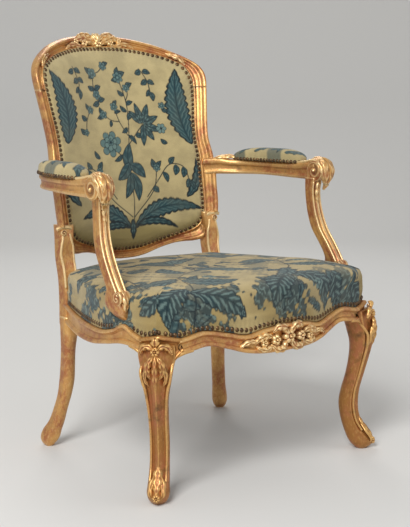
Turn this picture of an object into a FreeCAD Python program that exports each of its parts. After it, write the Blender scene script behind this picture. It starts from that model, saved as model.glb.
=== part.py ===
import FreeCAD, Part
import math
import os

# Carved open armchair with a hollowed back. Millimetres. Front looks along minus Y,
# right is plus X, the floor is Z = 0. Left pieces are mirrored from right pieces.

V = FreeCAD.Vector

# Driving sizes of the whole chair
total_height = 924.0        # floor to the plain top of the back, carving not counted
knee_half = 290.0           # middle line to the front corner of the seat frame
post_half = 223.0           # middle line to the outer side of a back post
knee_line = -257.0          # depth of the front corners
post_line = 184.0           # depth of the back posts' front at seat height
seat_rail_top = 334.0       # height of the moulded lip of the front rail
front_bow = 62.0            # how far the front rail swells forward of its corners
back_hollow = 62.0          # how deep the back is hollowed over its width
arm_under = 593.0           # underside of the arms
arm_wood = 34.0             # height of the arm's wood
arm_half = 303.0            # middle line to the arm's middle at its front end
back_panel_foot = 429.0     # lowest point of the upholstered back panel
origin_depth = 38.5         # moves the finished chair so that its middle is at Y = 0

# Section sizes of the wood
ring_depth = 30.0           # back frame, front to rear
rail_depth = 34.0           # seat rails, outside to inside
wood_above_lip = 22.0       # seat rails rise this far above their lip, under the cloth
recess = 12.0               # the cloth's ledge behind the lip
tenon = 12.0
tenon_length = 22.0

# Cloth and trim
cloth = 2.5
gap = 0.3
seat_crown = 88.0           # seat padding above the lip, in the middle
back_crown = 26.0           # back padding in front of its frame
pad_height = 21.0
nail_radius = 4.5
nail_rise = 3.0
nail_pitch = 10.6
web_width = 50.0
web_thick = 1.2

os.makedirs("parts", exist_ok=True)
seat_depth = post_line - knee_line


# Small tools

def smooth(*points):
    """Curve through (place, value) pairs, rounded at every pair."""
    def slope(i):
        a, b = points[max(i - 1, 0)], points[min(i + 1, len(points) - 1)]
        return (b[1] - a[1]) / (b[0] - a[0])

    def value(t):
        t = min(max(t, points[0][0]), points[-1][0])
        i = max(k for k in range(len(points) - 1) if points[k][0] <= t)
        (a, p), (b, q) = points[i], points[i + 1]
        h = b - a
        s = (t - a) / h
        return ((1 + 2 * s) * (1 - s) ** 2 * p + s * (1 - s) ** 2 * h * slope(i)
                + s * s * (3 - 2 * s) * q + s * s * (s - 1) * h * slope(i + 1))
    return value


def outline(start, *steps):
    """Closed wire: a step of one point is a line, a step of two is an arc."""
    edges, last = [], start
    for step in steps + ((start,),):
        if len(step) == 1:
            if last.distanceToPoint(step[0]) > 1e-6:
                edges.append(Part.makeLine(last, step[0]))
        else:
            edges.append(Part.Arc(last, step[0], step[1]).toShape())
        last = step[-1]
    return Part.Wire(edges)


def arcs_through(points):
    """Closed wire of arcs, each over two steps of a closed list of points."""
    steps = [(points[i + 1], points[(i + 2) % len(points)]) for i in range(0, len(points), 2)]
    edges, last = [], points[0]
    for middle, end in steps:
        edges.append(Part.Arc(last, middle, end).toShape())
        last = end
    return Part.Wire(edges)


def loft(wires):
    return Part.makeLoft(wires, True, False)


def box(low, high):
    size = high.sub(low)
    return Part.makeBox(size.x, size.y, size.z, low)


def mirrored(shape):
    return shape.mirror(V(0, 0, 0), V(1, 0, 0))


def both(shape):
    return Part.makeCompound([shape, mirrored(shape)])


def spread(low, high, count):
    return [low + (high - low) * i / (count - 1) for i in range(count)]


def dome(place, outward):
    """One upholstery nail head standing on the cloth."""
    ball = (nail_radius ** 2 + nail_rise ** 2) / (2 * nail_rise)
    out = V(outward).normalize()
    centre = place.sub(V(out).multiply(ball - nail_rise))
    low = math.degrees(math.asin((ball - nail_rise) / ball))
    return Part.makeSphere(ball, centre, out, low, 90, 360)


def nail_row(path, outward, bare=None):
    """Nails at an even pitch along a path, facing outward(place, along), left out where bare(place)."""
    lengths = [0.0]
    for a, b in zip(path, path[1:]):
        lengths.append(lengths[-1] + a.distanceToPoint(b))
    count = int(lengths[-1] / nail_pitch)
    heads, i = [], 0
    for n in range(count):
        at = (n + 0.5) * lengths[-1] / count
        while lengths[i + 1] < at:
            i += 1
        along = path[i + 1].sub(path[i])
        place = path[i].add(V(along).multiply((at - lengths[i]) / (lengths[i + 1] - lengths[i])))
        if not (bare and bare(place)):
            heads.append(dome(place, outward(place, along)))
    return heads


# Seat frame: plan, lip and lower edge. u is a share of the half width, t of the depth.

front_swell = smooth((0, 1.0), (0.2, 0.97), (0.4, 0.79), (0.6, 0.53), (0.8, 0.41), (0.9, 0.27), (1, 0))
front_lip = smooth((0, 0), (0.2, -5), (0.34, -13), (0.48, -5), (0.66, 4), (0.8, -3), (0.9, -5), (1, 4))
front_foot = smooth((0, -56), (0.22, -54), (0.36, -48), (0.48, -37), (0.62, -27), (0.74, -31), (0.9, -40))
side_draw = smooth((0, 0), (0.13, -0.19), (0.31, -0.24), (0.49, -0.12), (0.67, 0.18), (0.85, 0.6), (1, 1))
side_lip = smooth((0, 4), (0.07, -6), (0.14, 2), (0.21, 14), (0.29, 0), (0.4, -10), (0.6, -9), (1, -4))
side_foot = smooth((0, -40), (0.1, -29), (0.22, -26), (0.34, -35), (0.5, -46), (0.75, -49), (1, -45))


def front_y(x):
    return knee_line - front_bow * front_swell(abs(x) / knee_half)


def side_x(y):
    return knee_half + (post_half - knee_half) * side_draw((y - knee_line) / seat_depth)


def lip_front(x):
    return seat_rail_top + front_lip(abs(x) / knee_half)


def lip_side(y):
    return seat_rail_top + side_lip((y - knee_line) / seat_depth)


wood_top = seat_rail_top + wood_above_lip


def rail_section(at, lip, foot, depth):
    """Seat rail section: lip bead, hollow, lower bead. at(d, z) puts a point in space."""
    middle = (lip - 9 + foot + 9) / 2
    return outline(at(recess, wood_top), (at(recess, lip - 1),), (at(6, lip),),
                   (at(0.6, lip - 4), at(3, lip - 9)), (at(8, middle), at(3, foot + 9)),
                   (at(0, foot + 4.5), at(4, foot)), (at(depth, foot + 2),), (at(depth, wood_top),))


joint_x = knee_half * 0.828
joint_y = knee_line + seat_depth * 0.0975
corner = V(knee_half, knee_line, 0)

front_rail = loft([
    rail_section(lambda d, z, x=x: V(x, front_y(x) + d, z), lip_front(x),
                 seat_rail_top + front_foot(abs(x) / knee_half), rail_depth)
    for x in spread(-joint_x, joint_x, 23)])

side_rail_end = post_line - 12
side_rail = loft([
    rail_section(lambda d, z, y=y: V(side_x(y) - d, y, z), lip_side(y),
                 seat_rail_top + side_foot((y - knee_line) / seat_depth), rail_depth)
    for y in spread(joint_y, side_rail_end, 15)])

# Front leg: a fan shaped knee block carries the rail mouldings round the corner.

fan = []
fan_foot = [front_foot(joint_x / knee_half), -50, -62, -50, side_foot(0.0975)]
fan_plan = [V(joint_x, front_y(joint_x), 0), V(corner.x - 27, corner.y - 16, 0), corner,
            V(corner.x + 10, corner.y + 24, 0), V(side_x(joint_y), joint_y, 0)]
for outer, foot, lip in zip(fan_plan, fan_foot, [lip_front(joint_x), seat_rail_top - 3,
                                                 seat_rail_top + 4, seat_rail_top - 4,
                                                 lip_side(joint_y)]):
    reach = V(outer.x - joint_x, outer.y - joint_y, 0)
    length = reach.Length
    way = V(reach).normalize()
    fan.append(rail_section(
        lambda d, z, o=outer, w=way: V(o.x - w.x * d, o.y - w.y * d, z),
        lip, seat_rail_top + foot, length - 9))
knee_block = loft(fan)


def leg_section(centre, way, out, inn, half, z):
    """Leg section with a ridge on its outer side and a rounded inner side."""
    side = V(-way.y, way.x, 0)

    def at(s, p):
        return V(centre.x + way.x * s + side.x * p, centre.y + way.y * s + side.y * p, z)
    mid = (out + inn) / 2
    reach = out - mid
    return outline(at(out, 0), (at(mid + reach * 0.62, half * 0.55), at(mid - reach * 0.05, half)),
                   (at(inn + reach * 0.28, half * 0.72), at(inn, 0)),
                   (at(inn + reach * 0.28, -half * 0.72), at(mid - reach * 0.05, -half)),
                   (at(mid + reach * 0.62, -half * 0.55), at(out, 0)))


# Each row: share of the lip height, ridge and inner side along the diagonal, half width
front_leg_rows = [(0.955, 8, -52, 36), (0.9, 14, -52, 38), (0.82, 17, -45, 33), (0.73, 14, -38, 28),
                  (0.63, 6, -39, 22), (0.51, -5, -46, 20.5), (0.41, -14, -55, 20), (0.32, -17, -60, 20),
                  (0.23, -14, -57, 20), (0.15, -2, -50, 21), (0.1, 12, -44, 22), (0.06, 19, -38, 23),
                  (0.02, 14, -28, 19), (0.0, 6, -20, 14)]
diagonal = V(1, -1, 0).normalize()
leg_loft = loft([leg_section(corner, diagonal, out, inn, half, seat_rail_top * share)
                 for share, out, inn, half in front_leg_rows])
front_leg = knee_block.fuse(leg_loft)

# Back frame: points of the panel opening and of the frame's outer edge, right half.
# Each row: across as a share of the post half width, height above the panel's foot as a
# share of the full height of the back; inner edge first, outer edge second.

back_rise = total_height - back_panel_foot
crest_rows = [((0.897, 0.750), (1.063, 0.750)), ((0.899, 0.782), (1.072, 0.787)),
              ((0.884, 0.816), (1.067, 0.822)), ((0.852, 0.844), (1.033, 0.855)),
              ((0.798, 0.862), (0.964, 0.884)), ((0.717, 0.881), (0.840, 0.917)),
              ((0.583, 0.899), (0.680, 0.950)), ((0.448, 0.912), (0.516, 0.973)),
              ((0.314, 0.921), (0.359, 0.988)), ((0.157, 0.926), (0.179, 0.997)),
              ((0.0, 0.927), (0.0, 1.0))]
stile_rows = [((0.826, 0.143), (1.0, 0.143)), ((0.833, 0.205), (1.012, 0.205)),
              ((0.836, 0.265), (1.014, 0.265)), ((0.840, 0.345), (1.022, 0.345)),
              ((0.842, 0.426), (1.017, 0.426)), ((0.838, 0.507), (0.999, 0.507)),
              ((0.850, 0.588), (1.014, 0.588)), ((0.877, 0.669), (1.037, 0.669)),
              ((0.897, 0.750), (1.063, 0.750))]
foot_rows = [((0.0, 0.0), (0.0, -0.057)), ((0.112, 0.002), (0.112, -0.055)),
             ((0.224, 0.010), (0.224, -0.046)), ((0.404, 0.032), (0.395, -0.020)),
             ((0.574, 0.053), (0.547, -0.002)), ((0.695, 0.073), (0.664, 0.004)),
             ((0.771, 0.095), (0.758, 0.006)), ((0.812, 0.121), (0.840, 0.018)),
             ((0.826, 0.143), (0.852, 0.050))]
waist_reach = 0.874 * post_half


def back_side(z):
    h = z - back_panel_foot
    return post_line + 0.11 * h + 0.00028 * h * h


def back_y(x, z):
    """Front of the back frame: leans back and is hollowed across its width."""
    return back_side(z) + back_hollow * (1 - (x / waist_reach) ** 2)


def spot(row, sign=1):
    return sign * row[0] * post_half, back_panel_foot + row[1] * back_rise


def ring_section(inner, outer, sign=1):
    """Moulded section from the outer edge (a = 0) to the panel opening (a = 1)."""
    xi, zi = spot(inner, sign)
    xo, zo = spot(outer, sign)

    def at(a, b):
        x, z = xo + (xi - xo) * a, zo + (zi - zo) * a
        return V(x, back_y(x, z) + b, z)
    d = ring_depth
    return outline(at(0, 13), (at(0.05, 4), at(0.19, 0)), (at(0.29, 1.2), at(0.34, 5)),
                   (at(0.5, 9), at(0.65, 5)), (at(0.69, 1.6), at(0.765, 1.4)), (at(0.77, 5),),
                   (at(1, 5),), (at(1, d),), (at(0.25, d),), (at(0.06, d - 4), at(0, d - 12)))


crest_rail = loft([ring_section(i, o, 1) for i, o in crest_rows]
                  + [ring_section(i, o, -1) for i, o in crest_rows[-2::-1]])
lower_back_rail = loft([ring_section(i, o, -1) for i, o in foot_rows[::-1]]
                       + [ring_section(i, o, 1) for i, o in foot_rows[1:]])
stile = loft([ring_section(i, o) for i, o in stile_rows])

# Back post block between the seat rails and the moulded stile, and the splayed leg

post_inner = 0.852 * post_half
stile_foot = back_panel_foot + stile_rows[0][0][1] * back_rise
step = back_panel_foot + 0.050 * back_rise


def block_section(z, low_x, high_x, low_y, high_y):
    r = 5
    return outline(V(low_x, low_y, z), (V(high_x - r, low_y, z),),
                   (V(high_x - 1.5, low_y + 1.5, z), V(high_x, low_y + r, z)),
                   (V(high_x, high_y - r, z),),
                   (V(high_x - 1.5, high_y - 1.5, z), V(high_x - r, high_y, z)),
                   (V(low_x, high_y, z),))


def block_at(z, inner, outer):
    y = back_y(outer - 4, z)
    return block_section(z, inner, outer, y + 2, y + ring_depth + 4)


leg_top = seat_rail_top - 54
post_block = loft([
    block_section(leg_top, post_inner, post_half + 2, post_line - 16, post_line + 20),
    block_section(seat_rail_top - 10, post_inner, post_half + 1, post_line - 15, post_line + 22),
    block_at(seat_rail_top + 50, post_inner, post_half),
    block_at(step, post_inner, post_half - 2),
    block_at(stile_foot - 14, spot(stile_rows[0][0])[0] + 2, post_half - 4),
    block_at(stile_foot, spot(stile_rows[0][0])[0], post_half)])
rear_leg_rows = [(0.9, 8, -30, 19.5), (0.78, 7, -31, 19), (0.67, 7, -26, 18.5), (0.56, 9, -24, 18),
                 (0.46, 12, -22, 17), (0.36, 17, -15, 16.5), (0.26, 27, -5, 16.5), (0.17, 39, 3, 17),
                 (0.11, 53, 10, 18.5), (0.06, 59, 15, 18.5), (0.02, 56, 24, 15), (0.0, 50, 29, 11)]
rear_way = V(1, 1, 0).normalize()
rear_leg = loft([leg_section(V(post_half, post_line, 0), rear_way, out, inn, half,
                             seat_rail_top * share) for share, out, inn, half in rear_leg_rows])
back_post = post_block.fuse(rear_leg).fuse(stile)

# Rear seat rail between the posts, bowed like the back

rear_rail_y = smooth((-1, 0), (-0.6, 0.64), (0, 1.0), (0.6, 0.64), (1, 0))


def rear_line(x):
    return post_line + (back_hollow - 12) * rear_rail_y(x / post_inner)


rear_rail = loft([outline(V(x, rear_line(x) - 13, wood_top), (V(x, rear_line(x) - 13, leg_top + 8),),
                          (V(x, rear_line(x) + 12, leg_top + 8),), (V(x, rear_line(x) + 12, wood_top),))
                  for x in spread(-post_inner, post_inner, 9)])


# Arms: sections stand square to the path, which flares out and then runs forward

def path_point(rows, share):
    """Point on a smooth path through rows of (across, depth)."""
    n = len(rows) - 1
    xs = smooth(*[(i / n, row[0]) for i, row in enumerate(rows)])
    ys = smooth(*[(i / n, row[1]) for i, row in enumerate(rows)])
    e = 1e-3
    a, b = max(share - e, 0), min(share + e, 1)
    way = V(xs(b) - xs(a), ys(b) - ys(a), 0).normalize()
    return V(xs(share), ys(share), 0), way


knuckle_y = knee_line + 165
arm_rows = [(post_half - 6, back_side(arm_under) + 12), (post_half + 22, post_line - 2),
            (arm_half - 30, post_line - 36), (arm_half - 13, post_line - 84),
            (arm_half - 4, post_line - 142), (arm_half - 1, post_line - 204),
            (arm_half, knuckle_y)]
arm_width = smooth((0, 15), (0.12, 17), (0.3, 21), (0.6, 22), (0.85, 20), (1, 21))
arm_top = smooth((0, 1), (0.12, 4), (0.2, 0), (0.8, 0), (0.9, 5), (1, 8))


def arm_section(share):
    place, way = path_point(arm_rows, share)
    side = V(way.y, -way.x, 0)
    w, top = arm_width(share), arm_under + arm_wood + arm_top(share)

    def at(p, z):
        return V(place.x + side.x * p, place.y + side.y * p, z)
    low = arm_under
    return outline(at(-w + 3, top), (at(w - 3, top),), (at(w, top - 4), at(w - 2, top - 9)),
                   (at(w - 5, top - 17), at(w - 5, low + 9)), (at(w - 6, low + 2), at(w - 13, low)),
                   (at(-w + 13, low),), (at(-w + 6, low + 2), at(-w + 5, low + 9)),
                   (at(-w + 5, top - 17), at(-w + 2, top - 9)), (at(-w, top - 4), at(-w + 3, top)))


knuckle_radius = 22.0
knuckle = Part.makeCylinder(knuckle_radius, 42, V(arm_half - 21, knuckle_y, arm_under + 20), V(1, 0, 0))
arm = loft([arm_section(s) for s in spread(0, 1, 13)]).fuse(knuckle)

# Arm supports: an S shaped stem with a small forward scroll above the rail's lip

support_y = knee_line + 106
support_rows = [(seat_rail_top - 3.5, -14.5, -6, 4, 10), (seat_rail_top + 17, -14, -5, 4.5, 13),
                (wood_top + 10, -6, -1, 12, 19), (wood_top + 26, -3, 8, 14, 29),
                (wood_top + 42, -2, 10, 14.5, 27), (wood_top + 58, -2, 11, 14.5, 20),
                (wood_top + 74, -2, 19, 15, 17), (wood_top + 96, -3, 34, 15, 17),
                (wood_top + 124, -6, 53, 15, 17), (wood_top + 154, -8, 65, 14.5, 16),
                (wood_top + 184, -10, 71, 14, 15), (wood_top + 214, -11, 73, 14, 15.5),
                (arm_under, -10, 71, 15, 18)]


def support_section(z, dx, dy, half_x, half_y):
    c = V(arm_half + dx, support_y + dy, z)

    def at(px, py):
        return V(c.x + px * half_x, c.y + py * half_y, z)
    return outline(at(-0.6, -1), (at(0.6, -1),), (at(0.9, -0.8), at(1, -0.4)), (at(0.8, 0), at(1, 0.4)),
                   (at(0.9, 0.8), at(0.6, 1)), (at(-0.6, 1),), (at(-0.9, 0.8), at(-1, 0.4)),
                   (at(-0.8, 0), at(-1, -0.4)), (at(-0.9, -0.8), at(-0.6, -1)))


scroll = Part.makeCylinder(13, 26, V(arm_half - 15, support_y - 10, wood_top + 44), V(1, 0, 0))
support = loft([support_section(*row) for row in support_rows]).fuse(scroll)



# Joinery: each tenon belongs to one piece and its socket is cut in the other

def tongue(low, high):
    return box(V(min(low.x, high.x), min(low.y, high.y), min(low.z, high.z)),
               V(max(low.x, high.x), max(low.y, high.y), max(low.z, high.z)))


half = tenon / 2
rail_foot = seat_rail_top - 28
y0 = front_y(joint_x) + 18
x0 = side_x(joint_y) - 20
x1 = post_inner + 14
y1 = rear_line(post_inner) + 7
z1 = stile_foot - 26
top_z = spot(crest_rows[0][0])[1]
top_x = (crest_rows[0][0][0] + crest_rows[0][1][0]) / 2 * post_half
front_tongue = tongue(V(joint_x - 2, y0 - half, rail_foot), V(joint_x + tenon_length, y0 + half, wood_top - 8))
side_tongue = tongue(V(x0 - half, joint_y + 2, rail_foot + 6), V(x0 + half, joint_y - tenon_length, wood_top - 8))
heel_tongue = tongue(V(x1 - half, side_rail_end - 8, rail_foot), V(x1 + half, post_line + 1, wood_top - 12))
rear_tongue = tongue(V(post_inner - 2, y1 - 4, rail_foot), V(post_inner + 18, y1 + 4, wood_top - 12))
back_tongue = tongue(V(post_inner - 6, back_y(post_inner, z1) + 12, z1 - 12),
                     V(post_inner + 16, back_y(post_inner, z1) + 22, z1 + 12))
crest_tongue = tongue(V(top_x - 8, back_y(top_x, top_z) + 12, top_z - 1),
                      V(top_x + 8, back_y(top_x, top_z) + 22, top_z + tenon_length))
notch_floor = seat_rail_top - 4
support_notch = box(V(arm_half - 21.5, support_y - 26, notch_floor),
                    V(arm_half - 5, support_y + 16, wood_top + 1))
support_tongue = box(V(arm_half - 17.5, support_y - 13, notch_floor - 16),
                     V(arm_half - 11.5, support_y + 1, notch_floor + 4))
start, way = path_point(arm_rows, 0.09)
arm_peg = Part.makeCylinder(6, 30, V(start.x, start.y, arm_under + 17), V(-way.x, -way.y, 0))
support_peg = Part.makeCylinder(7, 26, V(arm_half - 10, support_y + 72, arm_under - 8), V(0, 0, 1))

front_leg = front_leg.cut(front_tongue).cut(side_tongue)
front_rail = front_rail.cut(front_leg).cut(mirrored(front_leg)).fuse(both(front_tongue))
back_post = back_post.fuse(crest_tongue)
crest_rail = crest_rail.cut(both(crest_tongue))
arm = arm.cut(back_post).fuse(arm_peg).cut(support_peg)
back_post = back_post.cut(arm_peg)
support = support.cut(arm).fuse(support_peg).fuse(support_tongue)
side_rail = side_rail.cut(front_leg).cut(back_post).cut(support_notch).cut(support_tongue)
side_rail = side_rail.fuse(side_tongue).fuse(heel_tongue)
rear_rail = rear_rail.cut(both(back_post)).fuse(both(rear_tongue))
lower_back_rail = lower_back_rail.cut(both(back_post)).fuse(both(back_tongue))
back_post = back_post.cut(heel_tongue).cut(rear_tongue).cut(back_tongue)

# Draw pegs through the tenons

# each row: middle of the tenon, direction into the seat, length past and before the middle
peg_places = [(V(joint_x + 11, y0, rail_foot + 20), V(0, 1, 0), 14, 9),
              (V(x0, joint_y - 11, rail_foot + 24), V(-1, 0, 0), 14, 9),
              (V(post_inner + 8, back_y(post_inner, z1) + 17, z1), V(0, 1, 0), 12, 9)]
pegs = [Part.makeCylinder(3.2, past + before, place.sub(V(way).multiply(before)), way)
        for place, way, past, before in peg_places]
drilled = Part.makeCompound(pegs)
front_leg = front_leg.cut(drilled)
front_rail = front_rail.cut(both(drilled))
side_rail = side_rail.cut(drilled)
lower_back_rail = lower_back_rail.cut(both(drilled))
back_post = back_post.cut(drilled)

# Glue blocks in the four corners of the seat frame

def block_from(points):
    low = seat_rail_top - 22
    wire = Part.makePolygon([V(x, y, low) for x, y in points] + [V(points[0][0], points[0][1], low)])
    solid = Part.Face(wire).extrude(V(0, 0, wood_top - 6 - low))
    for piece in (front_rail, front_leg, side_rail, back_post, rear_rail, drilled):
        solid = solid.cut(piece)
    return max(solid.Solids, key=lambda s: s.Volume)


def inner_front(x):
    return front_y(x) + rail_depth + gap


def inner_side(y):
    return side_x(y) - rail_depth - gap


corner_blocks = [
    block_from([(joint_x - 70, inner_front(joint_x - 70)), (joint_x - 4, inner_front(joint_x - 4)),
                (joint_x + 20, joint_y + 4), (inner_side(joint_y + 64), joint_y + 64)]),
    block_from([(inner_side(post_line - 72), post_line - 72), (post_inner + 12, post_line - 20),
                (post_inner - 1, post_line - 6),
                (post_inner - 52, rear_line(post_inner - 52) - 13 - gap)])]


# Seat upholstery. The outline follows the rails; levels give inset, height and tilt.

front_stations = (0.11, 0.21, 0.34, 0.48, 0.62, 0.74, 0.84, 0.92)
side_stations = (0.07, 0.14, 0.21, 0.29, 0.42, 0.56, 0.74, 0.92)
middle = (knee_line + post_line) / 2
lip_clearance = 1.2


def seat_outline(inset, level=None, tilt=0.0, share=1.0):
    """Closed outline drawn in towards the middle by share; with no level it follows the lip."""
    places = [(0, front_y(0) + inset, lip_front(0))]
    places += [(u * knee_half, front_y(u * knee_half) + inset, lip_front(u * knee_half))
               for u in front_stations]
    places += [(knee_half - 0.3 - inset * 0.75, knee_line + 0.3 + inset * 0.75, seat_rail_top + 4)]
    for t in side_stations:
        y = knee_line + t * seat_depth
        places.append((side_x(y) - inset, y, lip_side(y)))
    places += [(post_half - inset, post_line + 12 - inset * 0.5, lip_side(post_line))]
    places += [(u * post_inner, rear_line(u * post_inner) + 24 - inset, lip_side(post_line))
               for u in (0.7, 0.35, 0)]
    places += [(-x, y, z) for x, y, z in places[-2:0:-1]]
    if level is None:
        return arcs_through([V(x, y, z + lip_clearance) for x, y, z in places])
    return arcs_through([V(x * share, middle + (y - middle) * share,
                           level - tilt * share * (y - middle)) for x, y, z in places])


def skinned(outer, inner):
    """Cloth between two forms, each given as outlines from its open hem to its crown."""
    faces = Part.makeLoft(outer, False, True).Faces + Part.makeLoft(inner, False, True).Faces
    faces += [Part.Face(outer[-1]), Part.Face(inner[-1])]
    faces += Part.makeRuledSurface(outer[0], inner[0]).Faces
    shell = Part.makeShell(faces)
    shell.sewShape()
    solid = Part.makeSolid(shell)
    return solid if solid.Volume > 0 else solid.reversed()


# Each row: inset, level above the lip, tilt, share of the outline
seat_levels = [(8.5, 24, 0.0, 1.0), (7, 36, 0.003, 1.0), (6.5, 46, 0.006, 1.0), (7, 56, 0.01, 1.0),
               (9, 64, 0.015, 1.0), (13, 71, 0.02, 1.0), (18, 76, 0.025, 0.985), (20, 80, 0.027, 0.96),
               (20, 84, 0.03, 0.9), (20, 87.5, 0.03, 0.8), (20, 90, 0.03, 0.62), (20, 91.3, 0.03, 0.4),
               (20, 91.8, 0.03, 0.18)]


def seat_wires(inward, drop):
    """Outlines of the padded seat above the wood; inward and drop make it smaller."""
    return [seat_outline(inset + inward, seat_rail_top + level * seat_crown / 88.0 - drop * (level > 50),
                         tilt, share) for inset, level, tilt, share in seat_levels]


def ruled(wires):
    return Part.makeLoft(wires, True, True)


hem_inset = 8.0
seat_cover = skinned([seat_outline(hem_inset)] + seat_wires(0, 0),
                     [seat_outline(hem_inset + cloth)] + seat_wires(cloth, cloth))
web_level = wood_top + 0.1
hessian_level = web_level + 2 * web_thick + 0.2
pad_foot = hessian_level + 1.2
under = cloth + gap
seat_stuffing = ruled([seat_outline(8.5 + under, pad_foot)] + seat_wires(under, under)[1:])
seat_hessian = ruled([seat_outline(17, hessian_level), seat_outline(17, hessian_level + 1)])
near_support = box(V(arm_half - 18.8, support_y - 25, wood_top + 5),
                   V(arm_half + 20, support_y + 40, wood_top + 90))
near_support = near_support.fuse(box(V(arm_half - 18.8, support_y - 25, 0),
                                     V(arm_half + 20, support_y + 15, wood_top + 6)))
near_post = box(V(post_inner - gap, post_line - 19.5, 0),
                V(post_half + 40, post_line + 90, wood_top + 120))
clear = both(near_support.fuse(near_post))
seat_cover = seat_cover.cut(clear)
seat_stuffing = seat_stuffing.cut(clear)
seat_hessian = seat_hessian.cut(clear)

webs = []
for x in spread(-2, 2, 5):
    place = x * web_width * 1.6
    webs.append(box(V(place - web_width / 2, front_y(place) + 20, web_level),
                    V(place + web_width / 2, rear_line(abs(place) + web_width / 2) + 4,
                      web_level + web_thick)))
for y in spread(-2, 2, 5):
    place = middle + y * web_width * 1.5
    reach = min(side_x(place - web_width / 2), side_x(place + web_width / 2)) - 26
    webs.append(box(V(-reach, place - web_width / 2, web_level + web_thick + 0.05),
                    V(reach, place + web_width / 2, web_level + 2 * web_thick + 0.05)))
seat_webbing = Part.makeCompound(webs)

dust_level = seat_rail_top - 24
dust = ruled([seat_outline(rail_depth + 2, dust_level), seat_outline(rail_depth + 2, dust_level + 1)])
for piece in (front_leg, back_post, rear_rail):
    dust = dust.cut(piece).cut(mirrored(piece))
seat_dust_cover = max(dust.Solids, key=lambda s: s.Volume)


# Back upholstery: level sections of the panel opening, widened all round by grow

def opening_half():
    rows = foot_rows + stile_rows[1:] + crest_rows[1:]
    return [(spot(row[0])[1], spot(row[0])[0]) for row in rows]


edge = opening_half()
panel_low, panel_high = edge[0][0], edge[-1][0]
panel_mid = (panel_low + panel_high) / 2
panel_wide = max(x for z, x in edge)


def half_width(z):
    for (za, xa), (zb, xb) in zip(edge, edge[1:]):
        if za <= z <= zb:
            return xa + (xb - xa) * (z - za) / (zb - za)
    return 0.0


panel_stations = [0.0035, 0.012, 0.03, 0.055, 0.085, 0.115, 0.15, 0.2, 0.28, 0.37, 0.46, 0.55, 0.64, 0.72,
                  0.79, 0.845, 0.885, 0.92, 0.947, 0.967, 0.982, 0.992, 0.9975]
back_swell = smooth((0, 0.02), (0.03, 0.25), (0.09, 0.62), (0.2, 0.9), (0.5, 1), (0.8, 0.92), (0.93, 0.62),
                    (0.98, 0.25), (1, 0.02))


def panel(grow, front, rear, crown):
    """Sheet or pad in the back frame, between two depths behind its front, swelling forward."""
    wires = []
    for share in panel_stations:
        z0 = panel_low + (panel_high - panel_low) * share
        z = panel_mid + (z0 - panel_mid) * (1 + 2 * grow / (panel_high - panel_low))
        x = half_width(z0) * (1 + grow / panel_wide)
        c = crown * back_swell(share)

        def at(u, depth, x=x, z=z):
            return V(u * x, back_y(u * x, z) + depth, z)
        wires.append(outline(at(-1, rear), (at(0, rear), at(1, rear)), (at(1, front),),
                             (at(0.94, front - 0.45 * c), at(0.84, front - 0.72 * c)),
                             (at(0, front - c), at(-0.84, front - 0.72 * c)),
                             (at(-0.94, front - 0.45 * c), at(-1, front))))
    return ruled(wires)


ledge = 0.23 * 36
back_cover_front = panel(ledge, 2.2, 4.8, back_crown).cut(panel(-gap, 4.7, 12, back_crown - cloth))
back_stuffing = panel(-2 * gap, 5.1, 7.8, back_crown - cloth - gap)
back_hessian = panel(-2 * gap, 8.0, 9.0, 0)
web_front = panel(-2 * gap, 9.2, 9.2 + web_thick, 0)
web_behind = panel(-2 * gap, 9.4 + web_thick, 9.4 + 2 * web_thick, 0)
level_webs = Part.makeCompound([box(V(-300, 0, z - web_width / 2), V(300, 500, z + web_width / 2))
                                for z in spread(panel_low + 92, panel_high - 92, 4)])
upright_webs = Part.makeCompound([box(V(x - web_width / 2, 0, 0), V(x + web_width / 2, 500, 2000))
                                  for x in (-2 * web_width, 0, 2 * web_width)])
back_webbing = Part.makeCompound([web_front.common(level_webs), web_behind.common(upright_webs)])
back_cover_rear = panel(ledge, ring_depth + gap, ring_depth + gap + cloth, 0)


# Arm pads

pad_from, pad_to = 0.22, 0.84
pad_swell = smooth((0, 0.35), (0.06, 0.72), (0.2, 0.95), (0.5, 1), (0.8, 0.98), (0.94, 0.75), (1, 0.35))
pad_level = arm_under + arm_wood + 4


def pad_form(inward, foot):
    wires = []
    for n in spread(0, 1, 15):
        trim = inward / 150
        share = pad_from + trim + (pad_to - pad_from - 2 * trim) * n
        place, way = path_point(arm_rows, share)
        side = V(way.y, -way.x, 0)
        w = (arm_width(share) + 4) * (0.8 + 0.2 * pad_swell(n)) - inward
        h = pad_height * pad_swell(n) - inward

        def at(p, z):
            return V(place.x + side.x * p, place.y + side.y * p, z)
        z = pad_level
        wires.append(outline(at(-w, foot), (at(w, foot),),
                             (at(w * 1.03, z + 0.4 * h), at(w * 0.72, z + 0.86 * h)),
                             (at(0, z + h), at(-w * 0.72, z + 0.86 * h)),
                             (at(-w * 1.03, z + 0.4 * h), at(-w, foot))))
    return ruled(wires)


arm_pad_stuffing = pad_form(cloth + gap, pad_level - 3.7)
arm_pad_cover = pad_form(0, pad_level - 3.8).cut(pad_form(cloth, pad_level - 6))


# Nails stand on the cloth: the seat's row lies on the ruled skirt between hem and first level

def part_way(edge, t):
    return edge.valueAt(edge.FirstParameter + t * (edge.LastParameter - edge.FirstParameter))


def skirt_line(rise):
    """Points round the skirt at a height above the hem, each with its way outwards."""
    line = []
    hem, level = seat_outline(hem_inset), seat_wires(0, 0)[0]
    for low_edge, high_edge in zip(hem.Edges, level.Edges):
        for t in spread(0, 0.875, 8):
            a = part_way(low_edge, t)
            b = part_way(high_edge, t)
            line.append(a.add(b.sub(a).multiply(rise / (b.z - a.z))))
    return line


def bare(p):
    """True where a post or an arm support leaves no cloth for a nail."""
    x = abs(p.x)
    at_support = x > knee_half - 40 and support_y - 31 < p.y < support_y + 22
    at_post = p.y > post_line - 25 and x > post_inner - 6
    return at_support or at_post


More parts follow.
